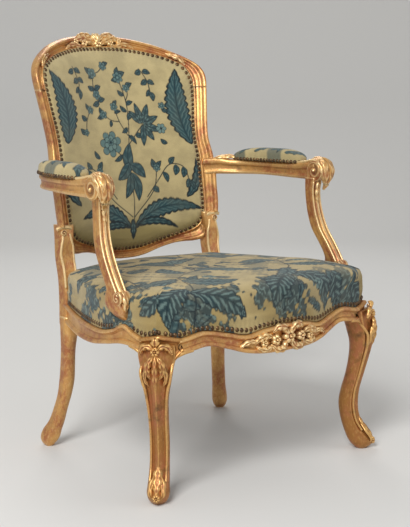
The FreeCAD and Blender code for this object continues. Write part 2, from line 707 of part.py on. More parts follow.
skirt = skirt_line(nail_radius + 1.5)
seat_heads = nail_row(skirt + skirt[:1], lambda place, along: V(along.y, -along.x, 0), bare)


def panel_run(grow, depth):
    half = []
    for z0, x0 in edge:
        z = panel_mid + (z0 - panel_mid) * (1 + 2 * grow / (panel_high - panel_low))
        x = x0 * (1 + grow / panel_wide)
        half.append(V(x, back_y(x, z) + depth, z))
    return half + [V(-p.x, p.y, p.z) for p in half[-2::-1]]


def away_back(p, along):
    e = 1.0
    across = (back_y(p.x + e, p.z) - back_y(p.x - e, p.z)) / (2 * e)
    up = (back_y(p.x, p.z + e) - back_y(p.x, p.z - e)) / (2 * e)
    return V(across, -1, up)


nail_line = ledge - nail_radius - 0.2
back_heads = nail_row(panel_run(nail_line, 1.6), away_back)
rear_heads = nail_row(panel_run(nail_line, ring_depth + gap + cloth + 0.1),
                      lambda place, along: away_back(place, along).negative())


def pad_nails():
    half = []
    for s in spread(pad_from + 0.004, pad_to - 0.004, 40):
        place, way = path_point(arm_rows, s)
        w = (arm_width(s) + 4) * (0.8 + 0.2 * pad_swell((s - pad_from) / (pad_to - pad_from))) * 1.045
        half.append((place, V(way.y, -way.x, 0), w))
    low = pad_level + 1.5
    loop = [V(p.x + d.x * w, p.y + d.y * w, low) for p, d, w in half]
    loop += [V(p.x - d.x * w, p.y - d.y * w, low) for p, d, w in half[::-1]]
    loop.append(loop[0])
    middles = [p for p, d, w in half]

    def away(p, along):
        near = min(middles, key=lambda m: (m.x - p.x) ** 2 + (m.y - p.y) ** 2)
        return V(p.x - near.x, p.y - near.y, 0)
    return nail_row(loop, away)


pad_heads = pad_nails()

nodes = {
    "front_leg_right": front_leg, "front_leg_left": mirrored(front_leg),
    "back_post_right": back_post, "back_post_left": mirrored(back_post),
    "crest_rail": crest_rail, "lower_back_rail": lower_back_rail,
    "front_seat_rail": front_rail, "rear_seat_rail": rear_rail,
    "side_seat_rail_right": side_rail, "side_seat_rail_left": mirrored(side_rail),
    "arm_right": arm, "arm_left": mirrored(arm),
    "arm_support_right": support, "arm_support_left": mirrored(support),
    "corner_blocks": Part.makeCompound(corner_blocks + [mirrored(b) for b in corner_blocks]),
    "joint_pegs": both(drilled),
    "seat_webbing": seat_webbing, "seat_hessian": seat_hessian, "seat_stuffing": seat_stuffing,
    "seat_cover": seat_cover, "seat_dust_cover": seat_dust_cover,
    "seat_nails": Part.makeCompound(seat_heads),
    "back_webbing": back_webbing, "back_hessian": back_hessian, "back_stuffing": back_stuffing,
    "back_cover_front": back_cover_front, "back_cover_rear": back_cover_rear,
    "back_front_nails": Part.makeCompound(back_heads), "back_rear_nails": Part.makeCompound(rear_heads),
    "arm_pad_stuffing_right": arm_pad_stuffing, "arm_pad_stuffing_left": mirrored(arm_pad_stuffing),
    "arm_pad_cover_right": arm_pad_cover, "arm_pad_cover_left": mirrored(arm_pad_cover),
    "arm_pad_nails_right": Part.makeCompound(pad_heads),
    "arm_pad_nails_left": Part.makeCompound([mirrored(h) for h in pad_heads]),
}
for name, shape in nodes.items():
    shape = shape.copy()
    shape.translate(V(0, -origin_depth, 0))
    shape.exportStep(f"parts/{name}.step")
    bound = shape.optimalBoundingBox()
    print(f"{name:24s} {str(shape.isValid()):6s} {len(shape.Solids):4d} solids {shape.Volume / 1000:8.1f} cm3",
          *[f"{v:7.1f}" for v in (bound.XMin, bound.XMax, bound.YMin, bound.YMax, bound.ZMin, bound.ZMax)])
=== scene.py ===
# %% [markdown]
# # A carved gilt armchair with needlework upholstery
# The chair has a carved and gilded beech frame, a hollowed back, padded arms and a seat that is
# nailed straight onto its rails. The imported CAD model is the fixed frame. Every visible piece is
# a surface worked out with numpy round it, and the cloth pieces are blown up by a simulation.
# All drawing is in millimetres and is turned to metres in one place.

# %% Load the frame
import bpy
import bmesh
import numpy as np
from mathutils import Matrix


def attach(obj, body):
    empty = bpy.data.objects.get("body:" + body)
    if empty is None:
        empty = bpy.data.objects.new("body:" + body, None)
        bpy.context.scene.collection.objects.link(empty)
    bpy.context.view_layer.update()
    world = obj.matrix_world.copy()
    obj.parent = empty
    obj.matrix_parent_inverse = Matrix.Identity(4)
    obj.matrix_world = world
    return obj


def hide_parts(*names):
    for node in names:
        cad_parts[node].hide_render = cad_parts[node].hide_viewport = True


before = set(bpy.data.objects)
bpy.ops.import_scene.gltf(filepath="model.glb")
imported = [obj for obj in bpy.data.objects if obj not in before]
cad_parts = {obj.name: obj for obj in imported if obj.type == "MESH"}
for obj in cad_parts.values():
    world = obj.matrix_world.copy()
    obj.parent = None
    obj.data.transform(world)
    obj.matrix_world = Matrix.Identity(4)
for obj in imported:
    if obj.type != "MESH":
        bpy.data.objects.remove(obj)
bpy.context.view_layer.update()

# %% [markdown]
# ## Small tools
# Every shape below is a grid of points that closes on itself in one direction, like a tube, and is
# capped at its ends. One tool turns any number of grids into one mesh, points the faces
# outwards and measures how hollow or proud each point is, because the gilding paints a highlight
# on proud edges and paints shade, with dirt, into hollows.

# %% Grids to meshes
ORIGIN_DEPTH = -38.5    # the CAD model's origin, from the drawing's own datum
MM = 0.001
SIDES = (("right", 1), ("left", -1))


def curve_between(x, y):
    """Rounded curve through values y at places x: cubic pieces whose slopes are the neighbours' chords.
    y may hold many curves at once, one in each row."""
    lo, hi = np.maximum(np.arange(len(x)) - 1, 0), np.minimum(np.arange(len(x)) + 1, len(x) - 1)
    slope = (y[..., hi] - y[..., lo]) / (x[hi] - x[lo])

    def value(t):
        t = np.clip(t, x[0], x[-1])
        i = np.clip(np.searchsorted(x, t, side="right") - 1, 0, len(x) - 2)
        h = x[i + 1] - x[i]
        s = (t - x[i]) / h
        return ((1 + 2 * s) * (1 - s) ** 2 * y[..., i] + s * (1 - s) ** 2 * h * slope[..., i]
                + s * s * (3 - 2 * s) * y[..., i + 1] + s * s * (s - 1) * h * slope[..., i + 1])
    return value


def curve_through(*pairs):
    """The same curve given as (place, value) pairs."""
    return curve_between(*np.array(pairs, float).T)


def path_through(points, count):
    """Points at even lengths along a rounded path through a few given points."""
    p = np.array(points, float)
    d = np.r_[0, np.cumsum(np.linalg.norm(np.diff(p, axis=0), axis=1))]
    fine = np.linspace(0, d[-1], count * 6)
    line = np.stack([curve_through(*zip(d, p[:, k]))(fine) for k in range(p.shape[1])], 1)
    e = np.r_[0, np.cumsum(np.linalg.norm(np.diff(line, axis=0), axis=1))]
    even = np.linspace(0, e[-1], count)
    return np.stack([np.interp(even, e, line[:, k]) for k in range(p.shape[1])], 1)


def unit(v):
    return v / np.maximum(np.linalg.norm(v, axis=-1, keepdims=True), 1e-9)


def smoothstep(a, b, x):
    t = np.clip((x - a) / (b - a), 0, 1)
    return t * t * (3 - 2 * t)


def grid_faces(rows, cols, wrap, start):
    """Four-cornered faces between neighbouring rows and columns, closing the columns if wrapped."""
    i = np.arange(rows - 1)[:, None]
    j = np.arange(cols if wrap else cols - 1)[None, :]
    k = (j + 1) % cols
    return (start + np.stack([i * cols + j, i * cols + k, (i + 1) * cols + k, (i + 1) * cols + j],
                             -1)).reshape(-1, 4)


def ring_cap(points, at, start, cols):
    """Fan of triangles from a middle point to one end row of a wrapped grid."""
    j = np.arange(cols)
    return np.stack([start + at * cols + j, start + at * cols + (j + 1) % cols, np.full(cols, points)], -1)


def relief_of(mesh):
    """How proud (+) or hollow (-) each point is: distance to its neighbours' mean, along the normal."""
    n = len(mesh.vertices)
    co, no = np.empty(n * 3), np.empty(n * 3)
    mesh.vertices.foreach_get("co", co)
    mesh.vertex_normals.foreach_get("vector", no)
    co, no = co.reshape(-1, 3) / MM, no.reshape(-1, 3)
    e = np.empty(len(mesh.edges) * 2, int)
    mesh.edges.foreach_get("vertices", e)
    a, b = e[0::2], e[1::2]
    count = np.maximum(np.bincount(np.r_[a, b], minlength=n), 1)

    def mean(v):
        return (np.bincount(a, v[b], n) + np.bincount(b, v[a], n)) / count
    length = np.linalg.norm(co[a] - co[b], axis=1)
    size = (np.bincount(a, length, n) + np.bincount(b, length, n)) / count
    off = sum((co[:, k] - mean(co[:, k])) * no[:, k] for k in range(3))
    bend = off / np.maximum(size, 0.3) ** 2 * 4
    for _ in range(2):
        bend = 0.5 * bend + 0.5 * mean(bend)
    return np.clip(np.sign(bend) * np.sqrt(np.abs(bend)), -1, 1)


def mesh_piece(name, points, faces):
    """Smooth mesh object from points in drawing millimetres, with its faces turned outwards."""
    mesh = bpy.data.meshes.new(name)
    mesh.from_pydata(((points + [0, ORIGIN_DEPTH, 0]) * MM).tolist(), [], faces)
    bm = bmesh.new()
    bm.from_mesh(mesh)
    bmesh.ops.recalc_face_normals(bm, faces=bm.faces)
    bm.to_mesh(mesh)
    bm.free()
    mesh.polygons.foreach_set("use_smooth", np.ones(len(mesh.polygons), bool))
    piece = bpy.data.objects.new(name, mesh)
    bpy.context.scene.collection.objects.link(piece)
    return piece


def build(name, grids, mirror=False):
    """One mesh piece from grids that close round their columns and are capped at both ends."""
    verts, quads, fans, total = [], [], [], 0
    for points in grids:
        rows, cols = points.shape[:2]
        verts.append(points.reshape(-1, 3))
        quads += grid_faces(rows, cols, True, total).tolist()
        start, total = total, total + rows * cols
        for at in (0, rows - 1):
            verts.append(points[at].mean(axis=0)[None])
            fans += ring_cap(total, at, start, cols).tolist()
            total += 1
    piece = mesh_piece(name, np.concatenate(verts) * ([-1, 1, 1] if mirror else 1), quads + fans)
    proud = piece.data.attributes.new("relief", "FLOAT", "POINT")
    proud.data.foreach_set("value", relief_of(piece.data).astype(np.float32))
    piece.data.update()
    return piece


def finish_piece(piece, material, slot, *nodes):
    """Material and body of a piece, and the CAD nodes it stands for. The slot is not used."""
    piece.data.materials.append(material)
    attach(piece, "root")
    if nodes:
        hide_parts(*nodes)
    print(piece.name, len(piece.data.polygons), "faces")
    return piece


# %% [markdown]
# ## Camera
# The photograph was taken from the left front, a little above the seat, with a long lens. The
# numbers come from fitting one camera to matching points of the chair's two halves.

# %% Camera
FOCAL_PIXELS, AZIMUTH, ELEVATION, ROLL = 1239.9, np.radians(-38.5), np.radians(9.14), np.radians(-0.35)
TARGET = np.array([37.3, ORIGIN_DEPTH, 414.4]) * MM
DISTANCE = 2.7755
SENSOR, PICTURE_HEIGHT = 36, 527    # millimetres, pixels
back = np.array([np.sin(AZIMUTH) * np.cos(ELEVATION), -np.cos(AZIMUTH) * np.cos(ELEVATION),
                 np.sin(ELEVATION)])
right = unit(np.cross(-back, [0, 0, 1]))
up = np.cross(right, -back)
right, up = np.cos(ROLL) * right + np.sin(ROLL) * up, np.cos(ROLL) * up - np.sin(ROLL) * right
camera_data = bpy.data.cameras.new("camera")
camera_data.sensor_width = SENSOR
camera_data.lens = FOCAL_PIXELS * SENSOR / PICTURE_HEIGHT
camera = bpy.data.objects.new("camera", camera_data)
pose = np.eye(4)
pose[:3, 0], pose[:3, 1], pose[:3, 2], pose[:3, 3] = right, up, back, TARGET + back * DISTANCE
camera.matrix_world = Matrix(pose.tolist())
bpy.context.scene.collection.objects.link(camera)
bpy.context.scene.camera = camera
print("lens", round(camera_data.lens, 1), "mm, camera at", pose[:3, 3].round(3))

# %% [markdown]
# ## Sizes shared by the pieces
# The curves of the seat frame and of the back are the same as in the CAD source: plan, lip and
# lower edge of the rails, and the lean and hollow of the back.

# %% Seat frame curves
KNEE_HALF, POST_HALF, KNEE_LINE, POST_LINE = 290.0, 223.0, -257.0, 184.0
SEAT_DEPTH = POST_LINE - KNEE_LINE
LIP = 334.0
WOOD_TOP = LIP + 22
ARM_UNDER, ARM_WOOD, ARM_HALF = 593.0, 34.0, 303.0
POST_INNER = 0.852 * POST_HALF
front_swell = curve_through((0, 1.0), (0.2, 0.97), (0.4, 0.79), (0.6, 0.53), (0.8, 0.41), (0.9, 0.27),
                            (1, 0))
front_lip = curve_through((0, 0), (0.2, -5), (0.34, -13), (0.48, -5), (0.66, 4), (0.8, -3), (0.9, -5),
                          (1, 4))
front_foot = curve_through((0, -56), (0.22, -54), (0.36, -48), (0.48, -37), (0.62, -27), (0.74, -31),
                           (0.9, -40))
side_draw = curve_through((0, 0), (0.13, -0.19), (0.31, -0.24), (0.49, -0.12), (0.67, 0.18), (0.85, 0.6),
                          (1, 1))
side_lip = curve_through((0, 4), (0.07, -6), (0.14, 2), (0.21, 14), (0.29, 0), (0.4, -10), (0.6, -9),
                         (1, -4))
side_foot = curve_through((0, -40), (0.1, -29), (0.22, -26), (0.34, -35), (0.5, -46), (0.75, -49), (1, -45))
rear_bow = curve_through((-1, 0), (-0.6, 0.64), (0, 1.0), (0.6, 0.64), (1, 0))


def front_y(x):
    return KNEE_LINE - 62.0 * front_swell(np.abs(x) / KNEE_HALF)


def side_x(y):
    return KNEE_HALF + (POST_HALF - KNEE_HALF) * side_draw((y - KNEE_LINE) / SEAT_DEPTH)


def lip_front(x):
    return LIP + front_lip(np.abs(x) / KNEE_HALF)


def lip_side(y):
    return LIP + side_lip((y - KNEE_LINE) / SEAT_DEPTH)


def rear_line(x):
    return POST_LINE + 50.0 * rear_bow(x / POST_INNER)


# %% Back curves
PANEL_FOOT, BACK_RISE = 429.0, 495.0
CREST_ROWS = [((0.897, 0.750), (1.063, 0.750)), ((0.899, 0.782), (1.072, 0.787)),
              ((0.884, 0.816), (1.067, 0.822)), ((0.852, 0.844), (1.033, 0.855)),
              ((0.798, 0.862), (0.964, 0.884)), ((0.717, 0.881), (0.840, 0.917)),
              ((0.583, 0.899), (0.680, 0.950)), ((0.448, 0.912), (0.516, 0.973)),
              ((0.314, 0.921), (0.359, 0.988)), ((0.157, 0.926), (0.179, 0.997)),
              ((0.0, 0.927), (0.0, 1.0))]
STILE_ROWS = [((0.826, 0.143), (1.0, 0.143)), ((0.833, 0.205), (1.012, 0.205)),
              ((0.836, 0.265), (1.014, 0.265)), ((0.840, 0.345), (1.022, 0.345)),
              ((0.842, 0.426), (1.017, 0.426)), ((0.838, 0.507), (0.999, 0.507)),
              ((0.850, 0.588), (1.014, 0.588)), ((0.877, 0.669), (1.037, 0.669)),
              ((0.897, 0.750), (1.063, 0.750))]
FOOT_ROWS = [((0.0, 0.0), (0.0, -0.057)), ((0.112, 0.002), (0.112, -0.055)),
             ((0.224, 0.010), (0.224, -0.046)), ((0.404, 0.032), (0.395, -0.020)),
             ((0.574, 0.053), (0.547, -0.002)), ((0.695, 0.073), (0.664, 0.004)),
             ((0.771, 0.095), (0.758, 0.006)), ((0.812, 0.121), (0.840, 0.018)),
             ((0.826, 0.143), (0.852, 0.050))]


def back_side(z):
    """Front of the back frame at its sides: it leans back more with height."""
    h = z - PANEL_FOOT
    return POST_LINE + 0.11 * h + 0.00028 * h * h


def back_y(x, z):
    """Front of the back frame: the lean of its sides, hollowed across its width."""
    return back_side(z) + 62.0 * (1 - (x / (0.874 * POST_HALF)) ** 2)


def spots(rows, which):
    return np.array([[r[which][0] * POST_HALF, PANEL_FOOT + r[which][1] * BACK_RISE] for r in rows])


# %% [markdown]
# ## Gilding
# Water gilding is gold leaf on a red clay ground. With age the leaf browns in patches and gathers
# dirt. Proud edges get a painted highlight, and hollows get painted shade mixed with that dirt. One node
# group works out the colour, the roughness and a fine height from noise and from the relief measured
# on each mesh, and is used by all the wood.

# %% Node helpers
def group(name, inputs, outputs):
    tree = bpy.data.node_groups.new(name, "ShaderNodeTree")
    for label, kind, value in inputs:
        socket = tree.interface.new_socket(label, in_out="INPUT", socket_type=kind)
        if value is not None:
            socket.default_value = value
    for label, kind in outputs:
        tree.interface.new_socket(label, in_out="OUTPUT", socket_type=kind)
    return tree, tree.nodes.new("NodeGroupInput"), tree.nodes.new("NodeGroupOutput")


def node(tree, kind, links=None, **values):
    """Adds a node: links go to input sockets, values set attributes or unlinked inputs."""
    n = tree.nodes.new(kind)
    for key, value in values.items():
        if hasattr(n, key):
            setattr(n, key, value)
    for key, value in (links or {}).items():
        socket = n.inputs[key]
        if isinstance(value, bpy.types.NodeSocket):
            tree.links.new(value, socket)
        else:
            socket.default_value = value
    return n


def noise(tree, at, scale, detail=3.0, rough=0.5):
    return node(tree, "ShaderNodeTexNoise", {"Vector": at, "Scale": scale, "Detail": detail,
                                             "Roughness": rough}).outputs["Fac"]


def math(tree, operation, a, b=0.0, c=0.0, clamp=False):
    n = node(tree, "ShaderNodeMath", {0: a, 1: b, 2: c}, operation=operation)
    n.use_clamp = clamp
    return n.outputs[0]


def ramp(tree, value, low, high):
    """Value between low and high mapped smoothly to 0 and 1."""
    n = node(tree, "ShaderNodeMapRange", {"Value": value, "From Min": low, "From Max": high},
             interpolation_type="SMOOTHSTEP")
    return n.outputs["Result"]


def mix(tree, factor, a, b, blend="MIX"):
    n = node(tree, "ShaderNodeMix", data_type="RGBA", blend_type=blend)
    for key, value in ((0, factor), (6, a), (7, b)):
        if isinstance(value, bpy.types.NodeSocket):
            tree.links.new(value, n.inputs[key])
        else:
            n.inputs[key].default_value = value
    return n.outputs[2]


def colour(r, g, b):
    """An sRGB colour given 0 to 255, as the linear value that sockets take."""
    c = np.array([r, g, b]) / 255
    c = np.where(c <= 0.04045, c / 12.92, ((c + 0.055) / 1.055) ** 2.4)
    return (*c.tolist(), 1.0)


# %% Gilding group
gild, gin, gout = group("worn gilding",
                        [("Position", "NodeSocketVector", None), ("Relief", "NodeSocketFloat", 0.0),
                         ("Gold", "NodeSocketColor", colour(201, 138, 70)),
                         ("Bright", "NodeSocketColor", colour(243, 205, 140)),
                         ("Brown", "NodeSocketColor", colour(104, 60, 26)),
                         ("Bole", "NodeSocketColor", colour(172, 108, 70)),
                         ("Age", "NodeSocketFloat", 0.5)],
                        [("Colour", "NodeSocketColor"), ("Roughness", "NodeSocketFloat"),
                         ("Metal", "NodeSocketFloat"), ("Height", "NodeSocketFloat")])
pos, rel = gin.outputs["Position"], gin.outputs["Relief"]
drawn = node(gild, "ShaderNodeMapping", {"Vector": pos, "Scale": (1.0, 1.0, 0.4)}).outputs[0]
broad = noise(gild, pos, 14.0, 4.0, 0.6)
patch = noise(gild, pos, 55.0, 5.0, 0.65)
fine = noise(gild, pos, 420.0, 3.0, 0.6)
streak = noise(gild, drawn, 300.0, 4.0)
fine_shift = math(gild, "MULTIPLY", math(gild, "SUBTRACT", fine, 0.5), 0.35)
patch_shift = math(gild, "MULTIPLY", math(gild, "SUBTRACT", patch, 0.5), 0.7)
proud = ramp(gild, math(gild, "ADD", rel, fine_shift), 0.22, 0.62)
hollow = ramp(gild, math(gild, "ADD", math(gild, "MULTIPLY", rel, -1.0), patch_shift), 0.14, 0.50)
base = mix(gild, ramp(gild, broad, 0.36, 0.60), gin.outputs["Gold"], gin.outputs["Bole"])
base = mix(gild, math(gild, "MULTIPLY", ramp(gild, patch, 0.46, 0.58), 0.8), base, gin.outputs["Gold"])
# Painted highlight: proud edges are lightened towards the Bright colour.
base = mix(gild, math(gild, "MULTIPLY", proud, 0.8), base, gin.outputs["Bright"])
base = mix(gild, math(gild, "MULTIPLY", ramp(gild, streak, 0.50, 0.70), 0.22), base, gin.outputs["Bright"])
dust = math(gild, "MULTIPLY_ADD", broad, 0.5, math(gild, "MULTIPLY", patch, 0.6))
dirt_and_shade = math(gild, "MULTIPLY", ramp(gild, dust, 0.56, 0.78), gin.outputs["Age"])
# Painted shade: hollows are darkened towards the Brown colour, joined to the dirt patches above.
dirt_and_shade = math(gild, "MAXIMUM", dirt_and_shade, math(gild, "MULTIPLY", hollow, 0.8), clamp=True)
base = mix(gild, dirt_and_shade, base, gin.outputs["Brown"])
rough = math(gild, "ADD", math(gild, "MULTIPLY", dirt_and_shade, 0.22), math(gild, "MULTIPLY_ADD", fine, 0.16, 0.30))
metal = math(gild, "MULTIPLY_ADD", dirt_and_shade, -0.45, 0.62, clamp=True)
height = math(gild, "ADD", math(gild, "MULTIPLY", patch, 0.9), math(gild, "MULTIPLY", streak, 0.3))
height = math(gild, "ADD", math(gild, "MULTIPLY", fine, 0.4), height)
for label, value in (("Colour", base), ("Roughness", rough), ("Metal", metal), ("Height", height)):
    gild.links.new(value, gout.inputs[label])


def new_material(name):
    material = bpy.data.materials.new(name)
    material.use_nodes = True
    tree = material.node_tree
    return material, tree, tree.nodes["Principled BSDF"]


def add_bump(tree, skin, height, strength, distance):
    bump = node(tree, "ShaderNodeBump", {"Height": height, "Strength": strength, "Distance": distance})
    tree.links.new(bump.outputs[0], skin.inputs["Normal"])


def gilded(name, age, **shades):
    """Gilt material: the group fed with object places and relief, and its own age and colours."""
    material, tree, skin = new_material(name)
    g = tree.nodes.new("ShaderNodeGroup")
    g.node_tree = gild
    tree.links.new(node(tree, "ShaderNodeTexCoord").outputs["Object"], g.inputs["Position"])
    tree.links.new(node(tree, "ShaderNodeAttribute", attribute_name="relief").outputs["Fac"],
                   g.inputs["Relief"])
    g.inputs["Age"].default_value = age
    for label, shade in shades.items():
        g.inputs[label].default_value = colour(*shade)
    for label, socket in (("Colour", "Base Color"), ("Roughness", "Roughness"), ("Metal", "Metallic")):
        tree.links.new(g.outputs[label], skin.inputs[socket])
    add_bump(tree, skin, g.outputs["Height"], 0.35, 0.0012)
    return material


# The legs get a darker, browner gilding than the rest, with more age
GILT = gilded("gilt wood", 0.55, Gold=(212, 162, 96), Bright=(252, 224, 168), Brown=(92, 54, 28))
GILT_LEG = gilded("gilt wood of the legs", 0.8, Gold=(166, 114, 58), Bright=(232, 188, 118),
                  Brown=(78, 46, 25))
print("gilding group has", len(gild.nodes), "nodes")

# %% [markdown]
# ## Carved leaves, flowers and scrolls
# The carver's ornament is made of a few kinds of form: a leaf with a grooved middle and lobed
# edge, a flower with round petals, and a coiled scroll. Each is a closed grid in a few hundred
# points, laid on the wood and merged into the piece it is carved from.

# %% Carving tools
def leaf(spine, out, width, rise, lobes=4, tip=0.12, curl=0.0, rows=26, cols=9):
    """Leaf along a spine: half width is a sine arch notched by lobes, height an arch over the width
    with a groove along the middle and slanted veins, and the underside is flat."""
    line = path_through(spine, rows)
    u = np.linspace(0, 1, rows)[:, None]
    along = unit(np.gradient(line, axis=0))
    out = unit(np.broadcast_to(np.array(out, float), line.shape))
    side = unit(np.cross(along, out))
    out = unit(np.cross(side, along))
    v = np.linspace(-1, 1, cols)[None, :]
    arch = np.sin(np.pi * np.clip(u * (1 - tip) + tip * 0.5, 0, 1)) ** 0.75
    arch = arch * (1 - smoothstep(0.8, 1.0, u) * 0.55)
    notch = 1 - 0.32 * np.abs(np.sin(np.pi * lobes * (u + 0.12 * np.abs(v)))) ** 3
    w = width * (0.06 + arch * notch)
    height = rise * (1 - v ** 2) ** 0.6 * (0.25 + 0.75 * arch) * (1 - 0.55 * np.exp(-(v / 0.16) ** 2))
    height = height * (1 + 0.16 * np.sin(2 * np.pi * lobes * (u - 0.18 * np.abs(v)))) + curl * u ** 2
    top = line[:, None] + side[:, None] * (v * w)[..., None] + out[:, None] * (height + 0.3)[..., None]
    low = line[:, None] + side[:, None] * (v * w * 0.96)[..., None] - out[:,
                                                                          None] * (np.full_like(w * v,
                                                                                                rise * 0.5)
                                                                                 - curl * u ** 2)[..., None]
    return np.concatenate([top, low[:, ::-1]], 1)


def flower(centre, out, up_way, radius, rise, petals=5, rows=12, cols=60):
    """Round flower: petal edge radius swings with the angle, height is a bowl with a button inside."""
    out = unit(np.array(out, float))
    across = unit(np.cross(np.array(up_way, float), out))
    up_way = np.cross(out, across)
    r = np.linspace(0.0, 1, rows)[:, None]
    a = np.linspace(0, 2 * np.pi, cols, endpoint=False)[None, :]
    petal = np.abs(np.cos(a * petals / 2))
    edge = radius * (0.70 + 0.30 * petal ** 0.6)
    height = rise * (0.55 + 0.45 * np.sin(np.pi * r) * (0.45 + 0.55 * petal)
                     + 0.55 * np.exp(-(r / 0.22) ** 2)
                     - 0.35 * np.exp(-((r - 0.34) / 0.1) ** 2))
    height = height * (1 - smoothstep(0.9, 1.0, r) * 0.5)
    top = (np.array(centre, float) + across * (r * edge * np.cos(a))[..., None]
           + up_way * (r * edge * np.sin(a))[..., None] + out * height[..., None])
    low = top[-1:] - out * (height[-1:] + rise * 0.6)[..., None]
    return np.concatenate([top, low])


def scroll_disc(centre, axis, start, radius, width, turns=1.6, rows=16, cols=56):
    """Coiled scroll: a drum whose two faces rise in a spiral ridge, height by cos(angle - turns)."""
    centre, axis, start = np.array(centre, float), unit(np.array(axis, float)), unit(np.array(start, float))
    a = np.linspace(0, 2 * np.pi, cols, endpoint=False)[None, :]
    spoke = start * np.cos(a)[..., None] + np.cross(axis, start) * np.sin(a)[..., None]

    def face(sign):
        r = np.linspace(0, 0.94, rows)[:, None]
        ridge = 0.5 + 0.5 * np.cos(a * sign - 2 * np.pi * turns * r)
        h = width / 2 + radius * 0.11 * ridge ** 1.5 * (1 - smoothstep(0.86, 0.94, r))
        h = h + radius * 0.16 * np.exp(-(r / 0.2) ** 2)
        return centre + spoke * (r * radius)[..., None] + axis * (sign * h)[..., None]
    along = np.linspace(-1, 1, 9)[:, None, None]
    rim = centre + spoke * (radius * (1 - 0.06 * (1 - along ** 2))) + axis * (along * width / 2)
    return np.concatenate([face(-1), rim, face(1)[::-1]])


def sprigs(place, rows):
    """Leaves from rows of (points, way out, width, rise, lobes); place turns each point into a position."""
    return [leaf([place(*p) for p in points], *shape) for points, *shape in rows]


def bead(points, radius, count=60, cols=8, taper=0.0):
    """Round bead along a path, thinning towards its end by taper."""
    line = path_through(points, count)
    along = unit(np.gradient(line, axis=0))
    side = unit(np.cross(along, np.array([0.3, 0.2, 1.0])))
    other = np.cross(along, side)
    a = np.linspace(0, 2 * np.pi, cols, endpoint=False)
    r = radius * (1 - taper * np.linspace(0, 1, count))[:, None, None]
    return line[:, None] + r * (side[:, None] * np.cos(a)[None, :, None]
                                + other[:, None] * np.sin(a)[None, :, None])


# %% [markdown]
# ## The back frame
# The frame round the back panel is one moulding carried round: an outer roll, a wide hollow and a
# thin inner fillet beside the nails. Each section runs from the outer edge to the panel opening.

# %% Back frame moulding
RING_DEPTH = 30.0
ring_front = curve_through((0, 11), (0.02, 6.5), (0.06, 2.6), (0.12, 0.4), (0.19, 0.0), (0.25, 1.4),
                           (0.29, 4.4),
                           (0.32, 5.2), (0.35, 5.4), (0.42, 8.0), (0.5, 9.4), (0.59, 8.2), (0.65, 5.6),
                           (0.675, 3.0),
                           (0.70, 1.5), (0.735, 1.1), (0.765, 2.0), (0.78, 4.8), (1, 5.0))
RING_A = np.r_[np.linspace(0, 0.78, 52), np.linspace(0.80, 1, 6)]


def ring_profile():
    """Share across and depth behind the front, once round the section."""
    front = np.stack([RING_A, ring_front(RING_A)], 1)
    inner = np.stack([np.ones(5), np.linspace(8, RING_DEPTH - 2, 5)], 1)
    rear = np.stack([np.linspace(0.98, 0.22, 10), np.full(10, RING_DEPTH)], 1)
    turn = np.linspace(0, np.pi / 2, 8)[1:]
    corner = np.stack([0.22 * (1 - np.sin(turn)), RING_DEPTH - 14 * (1 - np.cos(turn))], 1)
    return np.concatenate([front, inner, rear, corner])


RING = ring_profile()


def ring_member(rows, count):
    """Moulding between the panel opening and the outer edge, hollowed like the back itself."""
    inner, outer = spots(rows, 0), spots(rows, 1)
    d = np.r_[0, np.cumsum(np.linalg.norm(np.diff((inner + outer) / 2, axis=0), axis=1))]
    t = np.linspace(0, d[-1], count)
    i = np.stack([curve_through(*zip(d, inner[:, k]))(t) for k in (0, 1)], 1)
    o = np.stack([curve_through(*zip(d, outer[:, k]))(t) for k in (0, 1)], 1)
    a, b = RING[:, 0][None, :, None], RING[:, 1][None, :]
    xz = o[:, None] + (i - o)[:, None] * a
    return np.stack([xz[..., 0], back_y(xz[..., 0], xz[..., 1]) + b, xz[..., 1]], -1)


def on_back(x, z, rise):
    """A point on the moulding's face, standing forward of it by rise."""
    return [x, float(back_y(x, z)) - rise, z]


def crest_carving():
    """Shell and flowers in the middle of the crest, with leaves running out to both sides."""
    top = PANEL_FOOT + BACK_RISE
    grids = []
    for s in (-1, 1):
        def place(x, z, rise):
            return on_back(s * x, top + z, rise)
        grids += sprigs(place, [
            ([(4, -24, -3), (22, -14, 1), (46, -8, 0), (66, -19, -3)], (0, -1, 0.25), 9, 6.5, 5),
            ([(6, -14, -2), (20, -2, 0), (38, 1, -2), (56, -4, -6)], (0, -0.8, 0.5), 7, 5.5, 4),
            ([(30, -22, -4), (50, -26, -3), (74, -22, -3), (96, -31, -5)], (0, -1, 0.1), 7, 5, 4),
            ([(1, -18, 0), (7.2, -8, 3), (12, 1, 0)], (0, -1, 0.3), 5, 5, 1),
            ([(1, -18, 0), (4.2, -5.6, 3), (7, 4.6, 0)], (0, -1, 0.3), 5, 5, 1)])
        grids.append(flower(place(36, -17, -1), (s * 0.1, -1, 0.3), (0, 0, 1), 9.5, 6, 5))
        grids.append(flower(place(61, -14, -3), (s * 0.1, -1, 0.3), (0, 0, 1), 7, 5, 5))
    grids += sprigs(place, [([(0, -20, 2), (0, -8, 6), (0, 5, 2)], (0, -1, 0.3), 6, 6, 1)])
    grids.append(flower(place(0, -20, 1), (0, -1, 0.3), (0, 0, 1), 10.5, 7, 6))
    return grids


def shoulder_leaf(s):
    """Small leaf on each shoulder of the crest."""
    p = spots(CREST_ROWS, 1)[5]
    return [leaf([on_back(s * (p[0] + 14), p[1] - 30, -4), on_back(s * (p[0] + 4), p[1] - 14, -2),
                  on_back(s * (p[0] - 22), p[1] - 2, -4)], (0, -1, 0.2), 7, 4, 3)]


half = ring_member(CREST_ROWS, 90)
crest_grid = np.concatenate([half, half[-2::-1] * [-1, 1, 1]])
crest = build("crest_rail_carved", [crest_grid] + crest_carving()
              + shoulder_leaf(1) + shoulder_leaf(-1))
finish_piece(crest, GILT, "giltwood", "crest_rail")

